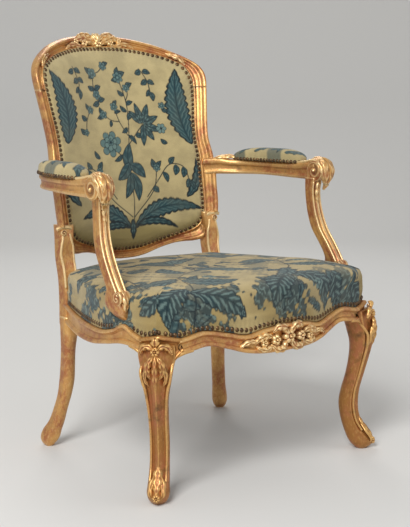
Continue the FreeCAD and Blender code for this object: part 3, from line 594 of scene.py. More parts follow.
half = ring_member(FOOT_ROWS, 60)
foot_grid = np.concatenate([half[::-1] * [-1, 1, 1], half[1:]])
lower = build("lower_back_rail_moulded", [foot_grid])
finish_piece(lower, GILT, "giltwood", "lower_back_rail")

# %% [markdown]
# ## Back posts and hind legs
# Each post is one length of beech: the moulded stile beside the panel, a plainer part behind the
# seat where the rails are jointed in, and a leg that sweeps out backwards to a rounded toe. The
# foot of the moulding ends in a small scroll.

# %% Posts
def curve_table(rows):
    """Rounded curves through the columns of a table whose first column is the place."""
    table = np.array(sorted(rows), float)
    return [curve_through(*zip(table[:, 0], table[:, k])) for k in range(1, table.shape[1])]


def rounded_box(half_a, half_b, power=2.6, count=44):
    """Superellipse outline: |a|^p + |b|^p = 1 scaled by the half sizes."""
    t = np.linspace(0, 2 * np.pi, count, endpoint=False)
    c, s = np.cos(t), np.sin(t)
    return (half_a * np.sign(c) * np.abs(c) ** (2 / power), half_b * np.sign(s) * np.abs(s) ** (2 / power))


def ridged_outline(count=88):
    """Leg outline: almost a diamond on the outer side, so that a ridge faces out, and rounded behind."""
    t = np.linspace(0, 2 * np.pi, count, endpoint=False)
    c, s = np.cos(t), np.sin(t)
    power = np.where(c > 0, 1.42, 2.2)
    size = (np.abs(c) ** power + np.abs(s) ** power) ** (-1 / power)
    return c * size, s * size


LEG_OUTLINE = ridged_outline()


def leg_grid(rows, corner, diagonal, z_top, moulded, count=90):
    """Cabriole leg: each level is a rounded square along the diagonal. Its two outer faces are
    hollowed between an edge bead at the back and a ridge in front."""
    outer, inner, half = curve_table(rows)
    share = np.r_[np.linspace(z_top / LIP, 0.08, count),
                  0.08 * (1 - smoothstep(0, 1, np.linspace(0, 1, 14)[1:]))]
    a, b = LEG_OUTLINE
    out_at, in_at, half_at = (f(share)[:, None] for f in (outer, inner, half))
    edge = np.clip((share[:, None] / 0.03), 0, 1) ** 0.5
    mid, reach = (out_at + in_at) / 2, (out_at - in_at) / 2
    angle = np.arctan2(b, a)[None, :]
    hollow = moulded * (np.exp(-((np.abs(angle) - 0.62) / 0.30) ** 2)
                        - 0.75 * np.exp(-((np.abs(angle) - 1.28) / 0.12) ** 2)
                        - 0.30 * np.exp(-(angle / 0.09) ** 2))
    shrink = 1 - hollow * smoothstep(0.07, 0.16, share)[:, None]
    d = mid + reach * a * shrink * (0.86 + 0.14 * edge)
    w = half_at * b * shrink * (0.86 + 0.14 * edge)
    diagonal = np.array(diagonal) / np.sqrt(2)
    across = np.array([-diagonal[1], diagonal[0]])
    plan = np.array(corner) + d[..., None] * diagonal + w[..., None] * across
    return np.concatenate([plan, np.broadcast_to((share * LIP)[:, None, None], d.shape + (1,))], -1)


REAR_LEG = [(0.9, 8, -30, 19.5), (0.78, 7, -31, 19), (0.67, 7, -26, 18.5), (0.56, 9, -24, 18),
            (0.46, 12, -22, 17),
            (0.36, 17, -15, 16.5), (0.26, 27, -5, 16.5), (0.17, 39, 3, 17), (0.11, 53, 10, 18.5),
            (0.06, 59, 15, 18.5),
            (0.02, 56, 24, 15), (0, 50, 29, 11)]
rear_leg = leg_grid(REAR_LEG, (POST_HALF, POST_LINE), (1, 1), 300, 0.05)
post_front = curve_through((280, 168), (330, 169), (380, 171), (430, 182), (470, 190), (502, 197))


def post_y(z):
    """Front of the post: upright behind the seat, then into the lean and hollow of the back."""
    blend = smoothstep(415, 475, z)
    return post_front(z) * (1 - blend) + (back_y(207.0, z) + 2.0) * blend


def post_grid():
    """Post behind the seat: a rounded box whose front runs up into the back's hollow."""
    z = np.linspace(281, 503, 56)[:, None]
    a, b = rounded_box(1.0, 1.0, 5.0, 40)
    front = post_y(z)
    flare = smoothstep(455, 500, z)
    width = 17.0 + 1.4 * smoothstep(330, 281, z) + 2.2 * flare
    x = 207.0 - 3.4 * flare + width * a
    y = front + 17.0 + 17.0 * b
    return np.stack([x, y, np.broadcast_to(z, x.shape)], -1)


def stile_carving():
    """Scroll where the moulding ends above the seat, and the raised edges of the post below it."""
    z = np.linspace(366, 484, 9)
    outer = [[221.5 - 5 * smoothstep(455, 484, h) + 3 * np.exp(-((h - 440) / 16) ** 2), float(post_y(h))
              + 1.5, h] for h in z]
    inner = [[192.5 + 7 * smoothstep(450, 484, h), float(post_y(h)) + 1.5, h] for h in z]
    front = float(post_y(497))
    return [scroll_disc([215, float(post_y(486)) + 6, 486], (0, -1, 0.1), (1, 0, 0.2), 7.5, 15, 1.2),
            bead([(194, front + 4, 494), (204, front + 2, 498), (222, front + 2, 498),
                  (230, front + 4, 495)], 5.2, 30, 12, 0.15),
            bead(outer, 3.0, 70, 10, 0.1), bead(inner, 3.0, 70, 10, 0.1)]


for side, sign in SIDES:
    stile = ring_member(STILE_ROWS, 110)
    post = build("back_post_" + side + "_carved",
                 [stile, post_grid(), rear_leg]
                 + stile_carving(), mirror=sign < 0)
    finish_piece(post, GILT, "giltwood", "back_post_" + side)

# %% [markdown]
# ## Seat rails, knees and front legs
# The front rail bows forward and its lower edge waves; the side rails draw in towards the back.
# All carry the same moulding: a bead under the nails, a wide hollow, and a bead along the lower
# edge. The rails end in the knees of the front legs, which are carved with a shell and leaves.

# %% Rails
def rail_grid(outer, inward, lip, foot, recess=0.0):
    """Rail swept along stations: plan point, inward way, lip and foot heights, and how much further
    back its top stands."""
    n = len(lip)
    lip, foot = lip[:, None], foot[:, None]
    mid = (lip + foot) / 2
    one = np.ones((n, 1))
    table = [(0.0, 12, WOOD_TOP * one), (0.02, 11.6, lip + 6), (0.04, 11, lip + 0.6),
             (0.09, 6.4, lip + 0.4),
             (0.13, 3.0, lip - 0.5), (0.17, 0.9, lip - 2.4), (0.21, 0.3, lip - 4.6), (0.25, 1.1, lip - 7.0),
             (0.29, 3.4, lip - 8.8), (0.33, 4.3, lip - 10), (0.41, 6.6, mid + (lip - mid) * 0.30),
             (0.5, 7.8, mid),
             (0.6, 6.4, mid - (mid - foot) * 0.38), (0.67, 3.9, foot + 9.6), (0.71, 2.6, foot + 8.8),
             (0.76, 0.7, foot + 6.8), (0.81, 0.0, foot + 4.2), (0.86, 0.8, foot + 1.6),
             (0.91, 3.4, foot + 0.1),
             (1.0, 8, foot + 0.9)]
    place = np.array([t[0] for t in table])
    fine = np.linspace(0, 1, 64)
    depth = curve_between(place, np.array([t[1] for t in table], float))(fine)
    z = curve_between(place, np.concatenate([t[2] for t in table], 1))(fine)
    recess = np.broadcast_to(np.reshape(recess, (-1, 1)), lip.shape)
    d = depth + recess * (fine < 0.05)
    rear_d = np.array([20.0, 33.0, 34.0, 34.0, 34.0, 33.0, 30.0])
    rear_z = np.concatenate([foot + 1.6, foot + 2, foot + 6, (foot + WOOD_TOP) / 2, WOOD_TOP - 4 * one,
                             WOOD_TOP * one,
                             WOOD_TOP * one], 1)
    d = np.concatenate([d, np.broadcast_to(rear_d, rear_z.shape)], 1)
    z = np.concatenate([z, rear_z], 1)
    plan = outer[:, None] + d[..., None] * inward[:, None]
    return np.concatenate([plan, z[..., None]], -1)


def inward_of(line, towards):
    """Unit normals of a plan path, on the side of a given point."""
    along = unit(np.gradient(line, axis=0))
    normal = np.stack([-along[:, 1], along[:, 0]], 1)
    flip = np.sign(np.sum(normal * (np.array(towards) - line), axis=1, keepdims=True))
    return normal * flip


JOINT_X, JOINT_Y = 240.1, -214.0
x = np.linspace(-JOINT_X - 6, JOINT_X + 6, 240)
front_line = np.stack([x, front_y(x)], 1)
front_grid = rail_grid(front_line, np.stack([0 * x, np.ones_like(x)], 1), lip_front(x),
                       LIP + front_foot(np.minimum(np.abs(x) / KNEE_HALF, 0.9)))


def on_front(x, z, rise):
    return [x, float(front_y(x)) + 5 - rise, z]


def front_carving():
    """Flower cluster in the middle of the front rail with leaves trailing to both sides."""
    grids = [flower(on_front(0, LIP - 26, 5), (0, -1, 0.15), (0, 0, 1), 15, 9, 6)]
    for s in (-1, 1):
        def place(x, z, rise):
            return on_front(s * x, LIP + z, rise)
        grids += sprigs(place, [
            ([(6, -20, 3), (14, -6, 8), (30, -4, 6), (40, -14, 2)], (0, -1, 0.4), 8, 7, 4),
            ([(6, -34, 3), (16, -48, 7), (33, -49, 6), (44, -38, 2)], (0, -1, -0.3), 8, 7, 4),
            ([(44, -24, 2), (56, -18, 6), (72, -22, 5), (84, -32, 1)], (0, -1, 0.2), 8, 6.5, 4),
            ([(42, -40, 2), (56, -46, 5), (70, -44, 4), (80, -38, 1)], (0, -1, -0.2), 6, 6, 3),
            ([(78, -30, 1), (92, -26, 4), (106, -31, 2), (116, -39, 0)], (0, -1, 0.1), 5.5, 5, 3)])
        grids.append(flower(place(34, -29, 4), (s * 0.1, -1, 0.1), (0, 0, 1), 11, 8, 5))
        grids.append(flower(place(62, -33, 3), (s * 0.1, -1, 0.1), (0, 0, 1), 8, 6, 5))
    return grids


front_rail = build("front_seat_rail_carved", [front_grid] + front_carving())
finish_piece(front_rail, GILT, "giltwood", "front_seat_rail")

y = np.linspace(JOINT_Y - 6, POST_LINE - 2, 200)
side_line = np.stack([side_x(y), y], 1)
side_inward = inward_of(side_line, (0, 0))
side_inward[:3] = [-1, 0]
turning = smoothstep(0, 24, np.arange(len(y)))[:, None]
side_inward = unit(side_inward * turning + np.array([-1.0, 0]) * (1 - turning))
side_grid = rail_grid(side_line, side_inward, lip_side(y), LIP + side_foot((y - KNEE_LINE) / SEAT_DEPTH))
for side, sign in SIDES:
    rail = build("side_seat_rail_" + side + "_moulded", [side_grid], mirror=sign < 0)
    finish_piece(rail, GILT, "giltwood", "side_seat_rail_" + side)

x = np.linspace(-POST_INNER, POST_INNER, 80)
a, b = rounded_box(12.5, 34.0, 7.0, 40)
rear_grid = np.stack([x[:, None] + 0 * a, rear_line(x)[:, None] + a, np.full((80, 1), 322.0) + b], -1)
rear_rail = build("rear_seat_rail_plain", [rear_grid])
finish_piece(rear_rail, GILT, "giltwood", "rear_seat_rail")

# %% [markdown]
# ## Knees and front legs
# A knee is fanned round a point inside the corner, so the moulding of both rails runs into it,
# and the leg below is a tapering S that ends in a carved toe.

# %% Knees and legs
FRONT_LEG = [(0.955, 8, -52, 36), (0.9, 14, -52, 38), (0.82, 17, -45, 33), (0.73, 14, -38, 28),
             (0.63, 6, -39, 22),
             (0.51, -5, -46, 20.5), (0.41, -14, -55, 20), (0.32, -17, -60, 20), (0.23, -14, -57, 20),
             (0.15, -2, -50, 21),
             (0.1, 12, -44, 22), (0.06, 19, -38, 23), (0.02, 14, -28, 19), (0, 6, -20, 14)]
front_leg = leg_grid(FRONT_LEG, (KNEE_HALF, KNEE_LINE), (1, -1), 318, 0.10, 120)


def knee_grid():
    """Corner block under the nails, swept round its pivot like a rail that turns the corner."""
    plan = path_through([(240, float(front_y(240))), (263, -273), (290, KNEE_LINE), (300, -233),
                         (float(side_x(JOINT_Y)), JOINT_Y)], 60)
    pivot = np.array([JOINT_X - 2, JOINT_Y + 2])
    share = np.linspace(0, 1, 60)
    inward = unit(pivot - plan)
    inward = unit(inward * (1 - np.abs(2 * share - 1) ** 6)[:, None]
                  + np.where(share[:, None] < 0.5, [[0.0, 1.0]],
                             [[-1.0, 0.0]]) * (np.abs(2 * share - 1) ** 6)[:, None])
    lip = np.interp(share, [0, 0.5, 1], [float(lip_front(240)), LIP + 4, float(lip_side(JOINT_Y))])
    foot = curve_through((0, LIP - 33), (0.12, LIP - 42), (0.3, LIP - 58), (0.5, LIP - 64), (0.7, LIP - 58),
                         (0.88, LIP - 40),
                         (1, LIP - 29))(share)
    return rail_grid(plan, inward, lip, foot, 9 * np.sin(np.pi * share) ** 0.5)


def leg_point(share, d, w, rise=0.0):
    """Point near the front leg at a height share: d along the diagonal from its front ridge."""
    outer = curve_table(FRONT_LEG)[0]
    r = float(outer(share)) + d + rise
    return [KNEE_HALF + (r + w) / np.sqrt(2), KNEE_LINE + (w - r) / np.sqrt(2), share * LIP]


# The edge beads start on the rails and run down the leg: (height share, depth, width)
EDGE_BEAD = [(0.80, -15, 30), (0.74, -12, 26.5), (0.70, -11, 22.5), (0.6, -10.5, 18), (0.5, -10, 16),
             (0.4, -10, 15.5),
             (0.3, -10, 15.5), (0.2, -10, 15.5), (0.13, -10, 16)]


def knee_carving():
    """Shell and hanging leaves on the knee, a leaf and a button on the toe, beads down both edges."""
    out = (0.7, -0.7, 0.2)
    on_front_rail = [[x, float(front_y(x)) + d, LIP + z] for x, d,
                     z in ((218, 2.5, -30), (240, 2.5, -34), (256, 4, -44))]
    on_side_rail = [[float(side_x(y)) - d, y, LIP + z] for y, d,
                    z in ((-186, 2.5, -25), (-206, 2.5, -30), (-222, 4, -42))]
    grids = [flower(leg_point(0.925, 0, 0), out, (0, 0, 1), 9, 7, 6)]
    grids += sprigs(leg_point, [
        ([(0.955, -3, 0), (0.985, -1, 0, 2), (1.005, -6, 0, 2)], out, 9, 6, 2),
        ([(0.90, -2, 0), (0.84, 1, 0), (0.77, 0, 0), (0.70, -2, 0)], out, 6, 5.5, 4),
        ([(0.215, -3, 0), (0.16, -1, 0), (0.11, -1, 0), (0.075, -1, 0)], out, 11, 4.5, 3)])
    for s, rail_edge in ((-1, on_front_rail), (1, on_side_rail)):
        grids += sprigs(leg_point, [
            ([(0.93, -3, s * 4), (0.955, -2, s * 14, 1), (0.945, -6, s * 25, 1), (0.905, -13, s * 32, 1)],
             out, 7, 6, 3),
            ([(0.90, -2, s * 3), (0.87, 0, s * 11), (0.82, -3, s * 15), (0.765, -4, s * 9)], out, 7, 6, 4),
            ([(0.84, -5, s * 16), (0.80, -7, s * 20), (0.755, -8, s * 20), (0.72, -8, s * 14)], out, 4.5, 5,
             2),
            ([(0.17, -4, s * 6), (0.12, -4, s * 11), (0.075, -4, s * 13), (0.045, -6, s * 9)], out, 6, 4,
             2)])
        grids.append(bead(rail_edge + [leg_point(share, d, s * w) for share, d, w in EDGE_BEAD], 3.4, 120,
                          10, 0.35))
    grids.append(flower(leg_point(0.052, -2, 0), (0.7, -0.7, 0.05), (0, 0, 1), 8, 5.5, 7))
    return grids


for side, sign in SIDES:
    leg = build("front_leg_" + side + "_carved", [knee_grid(), front_leg]
                + knee_carving(), mirror=sign < 0)
    finish_piece(leg, GILT_LEG, "giltwood", "front_leg_" + side)

# %% [markdown]
# ## Arms
# The arms sweep out and forward from the stiles and end in a scroll seen from the side. Their
# section is a roll on top with a hollow below it. An acanthus leaf falls from the scroll over the
# support.

# %% Arms
ARM_PATH = [(216, float(back_side(ARM_UNDER)) + 14), (245, 182), (273, 148), (290, 100), (299, 42),
            (302, -20),
            (ARM_HALF, -92)]
arm_half = curve_through((0, 16), (0.12, 17), (0.3, 21), (0.6, 22), (0.85, 20), (1, 21))
arm_extra = curve_through((0, 2), (0.12, 4), (0.2, 0), (0.8, 0), (0.9, 5), (1, 8))
KNUCKLE = np.array([ARM_HALF, -92.0, 613.0])


def arm_section():
    """Half width share and height share once round: flat top, side roll, hollow, lower roll."""
    side = [(0.0, 1.0), (0.55, 1.0), (0.86, 0.97), (0.98, 0.87), (1.0, 0.76), (0.95, 0.66), (0.84, 0.60),
            (0.82, 0.55),
            (0.78, 0.42), (0.80, 0.30), (0.86, 0.24), (0.93, 0.16), (0.90, 0.06), (0.76, 0.0), (0.4, -0.02),
            (0.0, -0.02)]
    path = path_through(side, 44)
    return np.concatenate([path, (path * [-1, 1])[::-1][1:-1]])


def arm_grid():
    """Arm swept along its plan path, level underneath, thinning into the knuckle and the stile."""
    line = path_through(ARM_PATH, 130)
    share = np.linspace(0, 1, 130)
    along = unit(np.gradient(line, axis=0))
    across = np.stack([-along[:, 1], along[:, 0]], 1)
    section = arm_section()
    half = arm_half(share)[:, None] * section[:, 0]
    low = ARM_UNDER + 2.0 * np.exp(-((share - 0.5) / 0.2) ** 2) - 4 * smoothstep(0.12, 0.0, share)
    tall = ARM_WOOD + arm_extra(share) - (low - ARM_UNDER)
    plan = line[:, None] + across[:, None] * half[..., None]
    return np.concatenate([plan, (low[:, None] + tall[:, None] * section[:, 1])[..., None]], -1)


def arm_carving():
    """Scroll at the arm's end with an acanthus leaf over it, beads behind it, and a leaf at the root."""
    def knuckle(x, y, z):
        return KNUCKLE + [x, y, z]
    grids = [scroll_disc(KNUCKLE, (1, 0, 0), (0, -1, 0), 23.5, 40, 1.5, 18, 64)]
    middle = [(0, 26, 24), (0, 4, 27), (0, -18, 18), (0, -25, -2), (0, -21, -24), (0, -10, -42)]
    grids.append(leaf([knuckle(*p) for p in middle], (0, -0.6, 1), 15, 6.5, 5, rows=40, cols=13))
    for s in (-1, 1):
        beside = [(s * 8, 18, 24), (s * 13, -2, 24), (s * 15, -18, 13), (s * 14, -24, -6),
                  (s * 9, -19, -26)]
        grids.append(leaf([knuckle(*p) for p in beside], (s * 0.35, -0.6, 0.9), 8, 5, 4, rows=32))
        edge = [(s * 16, 60, 16), (s * 17, 30, 20), (s * 17, 6, 24), (s * 17, -16, 16), (s * 17, -24, -4)]
        grids.append(bead([knuckle(*p) for p in edge], 3.2, 70, 8, 0.3))
    root = [[222, back_side(ARM_UNDER) + 8, 622], [236, 186, 632], [254, 168, 634], [268, 148, 630]]
    grids.append(leaf(root, (0.1, -0.3, 1), 13, 5, 4))
    return grids


for side, sign in SIDES:
    arm = build("arm_" + side + "_carved", [arm_grid()] + arm_carving(), mirror=sign < 0)
    finish_piece(arm, GILT, "giltwood", "arm_" + side)

# %% [markdown]
# ## Arm supports
# Each support is an S that stands on the side rail, leans back and meets the arm behind its
# scroll. Its front is drawn to a ridge between two hollows, and its foot is rolled over.

# %% Supports
SUPPORT_Y = -151.0
SUPPORT = [(330.5, -14.5, -6, 4, 10), (351, -14, -5, 4.5, 13), (366, -6, -1, 12, 19), (382, -3, 8, 14, 29),
           (398, -2, 10, 14.5, 27), (414, -2, 11, 14.5, 20), (430, -2, 19, 15, 17), (452, -3, 34, 15, 17),
           (480, -6, 53, 15, 17), (510, -8, 65, 14.5, 16), (540, -10, 71, 14, 15), (570, -11, 73, 14, 15.5),
           (597, -10, 71, 15.5, 18)]
support_dx, support_dy, support_hx, support_hy = curve_table(SUPPORT)


def support_grid():
    """S support: rounded square levels with a ridge in front, hollows beside it and edge beads."""
    z = np.r_[np.linspace(331, 360, 14), np.linspace(362, 597, 120)][:, None]
    a, b = rounded_box(1.0, 1.0, 3.2, 72)
    angle = np.abs(np.arctan2(a, -b))[None, :]
    carve = smoothstep(372, 400, z)
    shrink = 1 - carve * (0.15 * np.exp(-((angle - 0.42) / 0.17) ** 2)
                          - 0.05 * np.exp(-((angle - 0.80) / 0.10) ** 2)
                          + 0.09 * np.exp(-((angle - 1.45) / 0.28) ** 2)
                          - 0.07 * np.exp(-(angle / 0.10) ** 2))
    return np.stack([ARM_HALF + support_dx(z) + support_hx(z) * a * shrink,
                     SUPPORT_Y + support_dy(z) + support_hy(z) * b * shrink, z + 0 * a], -1)


def support_point(z, front, w=0.0):
    return [ARM_HALF + float(support_dx(z)) + w,
            SUPPORT_Y + float(support_dy(z)) - float(support_hy(z)) * front, z]


def support_carving():
    """Rolled foot, a leaf at the foot and one under the arm, and beads down both edges of the front."""
    grids = [scroll_disc([ARM_HALF - 2, SUPPORT_Y - 10, 400], (1, 0, 0), (0, 0.4, 1), 14, 25, 1.3, 14, 48)]
    grids += sprigs(support_point, [
        ([(372, 0.9), (384, 1.1), (398, 1.25), (416, 1.15)], (0, -1, 0.1), 7, 3.5, 3),
        ([(592, 1.0), (575, 1.12), (556, 1.05), (540, 0.98)], (0, -1, -0.1), 7, 4, 3)])
    edge = [(404, 0.9, 11), (425, 0.82, 11.5), (450, 0.8, 11.5), (480, 0.8, 11.5), (510, 0.8, 11),
            (540, 0.8, 10.5),
            (570, 0.8, 10.5), (588, 0.8, 11.5)]
    for s in (-1, 1):
        grids.append(bead([support_point(z, front, s * w) for z, front, w in edge], 2.3, 80, 8, 0.15))
    return grids


for side, sign in SIDES:
    support = build("arm_support_" + side + "_carved", [support_grid()] + support_carving(),
                    mirror=sign < 0)
    finish_piece(support, GILT, "giltwood", "arm_support_" + side)

# %% [markdown]
# ## Upholstery as cloth
# Seat, back and arm pads are sprung or stuffed forms with needlework drawn over them and nailed
# along the edge. Each cover is one square grid of points, wrapped so that its four corners meet
# the four corners of the frame and its rings run round the form. A grid like that has no pole in
# the middle, so a cloth simulation behaves evenly on it and the pattern stays sharp everywhere.

# %% Square grid and rings
def square_rings(count):
    """Ring place (1 at the edge, 0 in the middle) and place round the edge of a square grid."""
    k = np.linspace(-1, 1, 2 * count + 1)
    u, v = np.meshgrid(k, k, indexing="ij")
    ring = np.maximum(np.abs(u), np.abs(v))
    safe = np.maximum(ring, 1e-9)
    a, b = u / safe, v / safe
    around = np.where(a >= 0.999999, (b + 1) / 8, np.where(b >= 0.999999, 0.25 + (1 - a) / 8,
                      np.where(a <= -0.999999, 0.5 + (1 - b) / 8, 0.75 + (a + 1) / 8)))
    return ring, around % 1.0


def square_edge(count):
    """Indices of the edge points of a square grid, in the order of the place round the edge."""
    n = 2 * count + 1
    index = np.arange(n * n).reshape(n, n)
    return np.r_[index[-1, :-1], index[::-1, -1][:-1], index[0, ::-1][:-1], index[:, 0][:-1]]


class Outline:
    """Closed edge of a cover: points by their place round it, with the way inwards in the plane."""
    STEPS, SOFTEN = 4096, 3.0    # points round it, and the millimetres that corners are eased over

    def __init__(self, points, corners):
        p = np.array(points, float)
        d = np.r_[0, np.cumsum(np.linalg.norm(np.diff(np.r_[p, p[:1]], axis=0)[:, :2], axis=1))]
        self.length = d[-1]
        even = np.linspace(0, self.length, self.STEPS, endpoint=False)
        closed = np.r_[p, p[:1]]
        line = np.stack([np.interp(even, d, closed[:, k]) for k in range(p.shape[1])], 1)
        wave = np.fft.fft(line, axis=0)
        turn = np.fft.fftfreq(self.STEPS, self.length / self.STEPS)[:, None]
        self.line = np.fft.ifft(wave * np.exp(-0.5 * (2 * np.pi * turn * self.SOFTEN) ** 2), axis=0).real
        along = unit(np.roll(self.line, -1, 0)[:, :2] - np.roll(self.line, 1, 0)[:, :2])
        self.inward = np.stack([-along[:, 1], along[:, 0]], 1)
        self.inward *= np.sign(np.sum(self.inward * (self.line[:, :2].mean(0) - self.line[:, :2]),
                                      axis=1).mean())
        near = [np.argmin(np.linalg.norm(self.line[:, :2] - np.array(c), axis=1)) for c in corners]
        near = np.array(near, float)
        near = np.r_[near, near[0] + self.STEPS]
        near[1:] = np.where(near[1:] < near[:-1], near[1:] + self.STEPS, near[1:])
        self.near = near

    def at(self, around):
        where = np.interp(around, [0, 0.25, 0.5, 0.75, 1.0], self.near) % self.STEPS
        low = np.floor(where).astype(int)
        f = (where - low)[..., None]
        a, b = low % self.STEPS, (low + 1) % self.STEPS
        return (self.line[a] * (1 - f) + self.line[b] * f, self.inward[a] * (1 - f) + self.inward[b] * f,
                where / self.STEPS * self.length)


def grid_quads(count):
    n = 2 * count + 1
    return grid_faces(n, n, False, 0)


def settle(name, flat, count, pin_ring, pressure, cap):
    """Blows a coarse square grid of points up like cloth held at its edge, and returns the moves.
    Moves are capped by a smooth limit so that a corner can't run away."""
    n = 2 * count + 1
    ring, _ = square_rings(count)
    mesh = bpy.data.meshes.new(name)
    mesh.from_pydata((flat * MM).reshape(-1, 3).tolist(), [], grid_quads(count).tolist())
    piece = bpy.data.objects.new(name, mesh)
    bpy.context.scene.collection.objects.link(piece)
    held = piece.vertex_groups.new(name="held")
    held.add(np.flatnonzero(ring.ravel() >= pin_ring).tolist(), 1.0, "REPLACE")
    cloth = piece.modifiers.new("cloth", "CLOTH")
    s = cloth.settings
    s.quality, s.mass, s.air_damping = 6, 0.3, 2.0
    s.tension_stiffness = s.compression_stiffness = 15
    s.shear_stiffness, s.bending_stiffness = 5, 0.6
    s.vertex_group_mass = "held"
    s.use_pressure, s.uniform_pressure_force = True, pressure
    s.effector_weights.gravity = 0.0
    cloth.collision_settings.use_collision = False
    cloth.point_cache.frame_start, cloth.point_cache.frame_end = 1, 20
    for f in range(1, 21):
        bpy.context.scene.frame_set(f)
    shaped = piece.evaluated_get(bpy.context.evaluated_depsgraph_get())
    out = np.empty(n * n * 3, np.float32)
    shaped.data.vertices.foreach_get("co", out)
    bpy.data.objects.remove(piece)
    bpy.context.scene.frame_set(1)
    move = out.reshape(n, n, 3) / MM - flat
    size = np.linalg.norm(move, axis=-1, keepdims=True)
    move = move * (cap * np.tanh(size / cap) / np.maximum(size, 1e-6))
    print(name, "moved by up to", round(float(np.linalg.norm(move, axis=-1).max()), 2), "mm")
    return move


def spread_moves(move, count):
    """Moves of a coarse square grid carried to a finer one, straight lines between its points."""
    n = move.shape[0]
    at = np.linspace(0, n - 1, 2 * count + 1)
    low = np.minimum(np.floor(at).astype(int), n - 2)
    f = at - low
    f = f * f * (3 - 2 * f) * 0.5 + f * 0.5
    rows = move[low] * (1 - f)[:, None, None] + move[low + 1] * f[:, None, None]
    return rows[:, low] * (1 - f)[None, :, None] + rows[:, low + 1] * f[None, :, None]


def cover_piece(name, top, under, place, wool=None):
    """Closed cover: a square grid on top and rings that carry its edge underneath. Its flat cloth
    place and the amounts of the wools are kept at its points."""
    n = top.shape[0] ** 2
    edge = square_edge((top.shape[0] - 1) // 2)
    cols = len(edge)
    verts = np.concatenate([top.reshape(-1, 3), under.reshape(-1, 3), under[-1].mean(axis=0)[None]])
    first = np.stack([edge, np.roll(edge, -1), n + np.roll(np.arange(cols), -1), n + np.arange(cols)], 1)
    faces = grid_quads((top.shape[0] - 1) // 2).tolist() + first.tolist()
    faces += grid_faces(len(under), cols, True, n).tolist()
    faces += ring_cap(len(verts) - 1, len(under) - 1, n, cols).tolist()
    piece = mesh_piece(name, verts, faces)
    flat = np.concatenate([place * MM, np.zeros(place.shape[:-1] + (2,))], -1)
    for label, values in (("wool", wool), ("cloth_place", flat)):
        if values is not None:
            layer = piece.data.attributes.new(label, "FLOAT_COLOR", "POINT")
            full = np.concatenate([values.reshape(n, -1), np.zeros((len(verts) - n, 4))])
            layer.data.foreach_set("color", full.astype(np.float32).ravel())
    piece.data.update()
    return piece


# %% [markdown]
# ## Needlework pattern
# The covers are wool needlework on canvas: flowering stems and big feathered leaves in blues on a
# straw ground. The pattern is drawn as amounts of four wools at each point of the cover, from
# leaves and petals whose formulas are worked out for all points at once. It is a new layout in the
# old manner. The stitches themselves are left to the material.

# %% Pattern tools
def stamp(ink, alpha, wool):
    """Lays wool over what is there: ink = ink (1 - alpha) + wool alpha."""
    ink *= (1 - alpha)[..., None]
    ink += alpha[..., None] * wool
    return ink


DARK, TEAL, PALE, OLIVE = np.eye(4)


def paint_leaf(ink, at, root, tip, width, bend=0.0, scallops=0, veins=7, body=TEAL, rim=1.5, shade=0.6):
    """Leaf from root to tip. Along t in 0..1 its half width is an arch, scalloped by a rectified
    sine; its middle line is bowed by bend; ribs are slanted stripes, the edge is a dark line."""
    root, tip = np.array(root, float), np.array(tip, float)
    chord = tip - root
    long = np.linalg.norm(chord)
    e = chord / long
    q = at - root
    t = (q @ e) / long
    w = q @ np.array([-e[1], e[0]]) - 4 * bend * long * t * (1 - t)
    inside = np.clip(t, 0, 1)
    half = width * (np.sin(np.pi * inside ** 0.82) ** 0.75) + 1e-3
    if scallops:
        half = half * (0.80 + 0.20 * np.abs(np.sin(np.pi * scallops * inside + 0.5 * np.abs(w) / width)))
    gap = half - np.abs(w)
    alpha = smoothstep(-0.7, 0.7, gap) * (t > 0) * (t < 1)
    side = np.clip(np.abs(w) / half, 0, 1)
    stripe = 0.5 + 0.5 * np.cos(2 * np.pi * veins * (inside - 0.22 * side))
    light = smoothstep(0.50, 0.95, stripe) * (1 - smoothstep(0.75, 1, side)) * smoothstep(0.06, 0.2,
                                                                                          side) * shade
    wool = body * (1 - light[..., None]) + PALE * light[..., None]
    spine = np.exp(-(w / 0.9) ** 2) * (inside < 0.93)
    line = np.maximum(smoothstep(rim + 0.6, rim - 0.6, gap), spine)[..., None]
    return stamp(ink, alpha, wool * (1 - line) + DARK * line)


def paint_stem(ink, at, points, width):
    """Stem along a rounded path: distance to the nearest of its short straight parts."""
    line = path_through(points, 40)
    near = np.full(at.shape[:-1], 1e9)
    for a, b in zip(line[:-1], line[1:]):
        ab = b - a
        s = np.clip(((at - a) @ ab) / (ab @ ab), 0, 1)
        near = np.minimum(near, np.linalg.norm(at - a - s[..., None] * ab, axis=-1))
    return stamp(ink, smoothstep(width / 2 + 0.7, width / 2 - 0.7, near), DARK)


def paint_flower(ink, at, centre, radius, petals=5, turn=0.0, body=TEAL, heart=PALE):
    """Round flower: the petal edge swings with the angle, with lines between petals and a heart."""
    q = at - np.array(centre, float)
    r = np.linalg.norm(q, axis=-1)
    a = np.arctan2(q[..., 1], q[..., 0]) + turn
    swing = np.abs(np.cos(a * petals / 2))
    edge = radius * (0.66 + 0.34 * swing ** 0.6)
    alpha = smoothstep(-0.7, 0.7, edge - r)
    line = np.maximum(smoothstep(2.0, 0.6, edge - r), smoothstep(0.28, 0.12, swing) * (r > radius * 0.25))
    light = smoothstep(0.35, 0.7, r / np.maximum(edge, 1)) * (1 - line) * 0.75
    wool = body * (1 - light[..., None]) + PALE * light[..., None]
    wool = wool * (1 - line[..., None]) + DARK * line[..., None]
    ink = stamp(ink, alpha, wool)
    return stamp(ink, smoothstep(radius * 0.28, radius * 0.18, r), heart)


def paint_spray(ink, at, root, angles, long, width, **style):
    """Fan of pointed leaves round one root."""
    for k, angle in enumerate(angles):
        c = np.array([np.cos(np.radians(angle)), np.sin(np.radians(angle))])
        reach = long * (1 - 0.12 * (k % 2))
        ink = paint_leaf(ink, at, np.array(root) + c * 2, np.array(root) + c * reach, width, **style)
    return ink


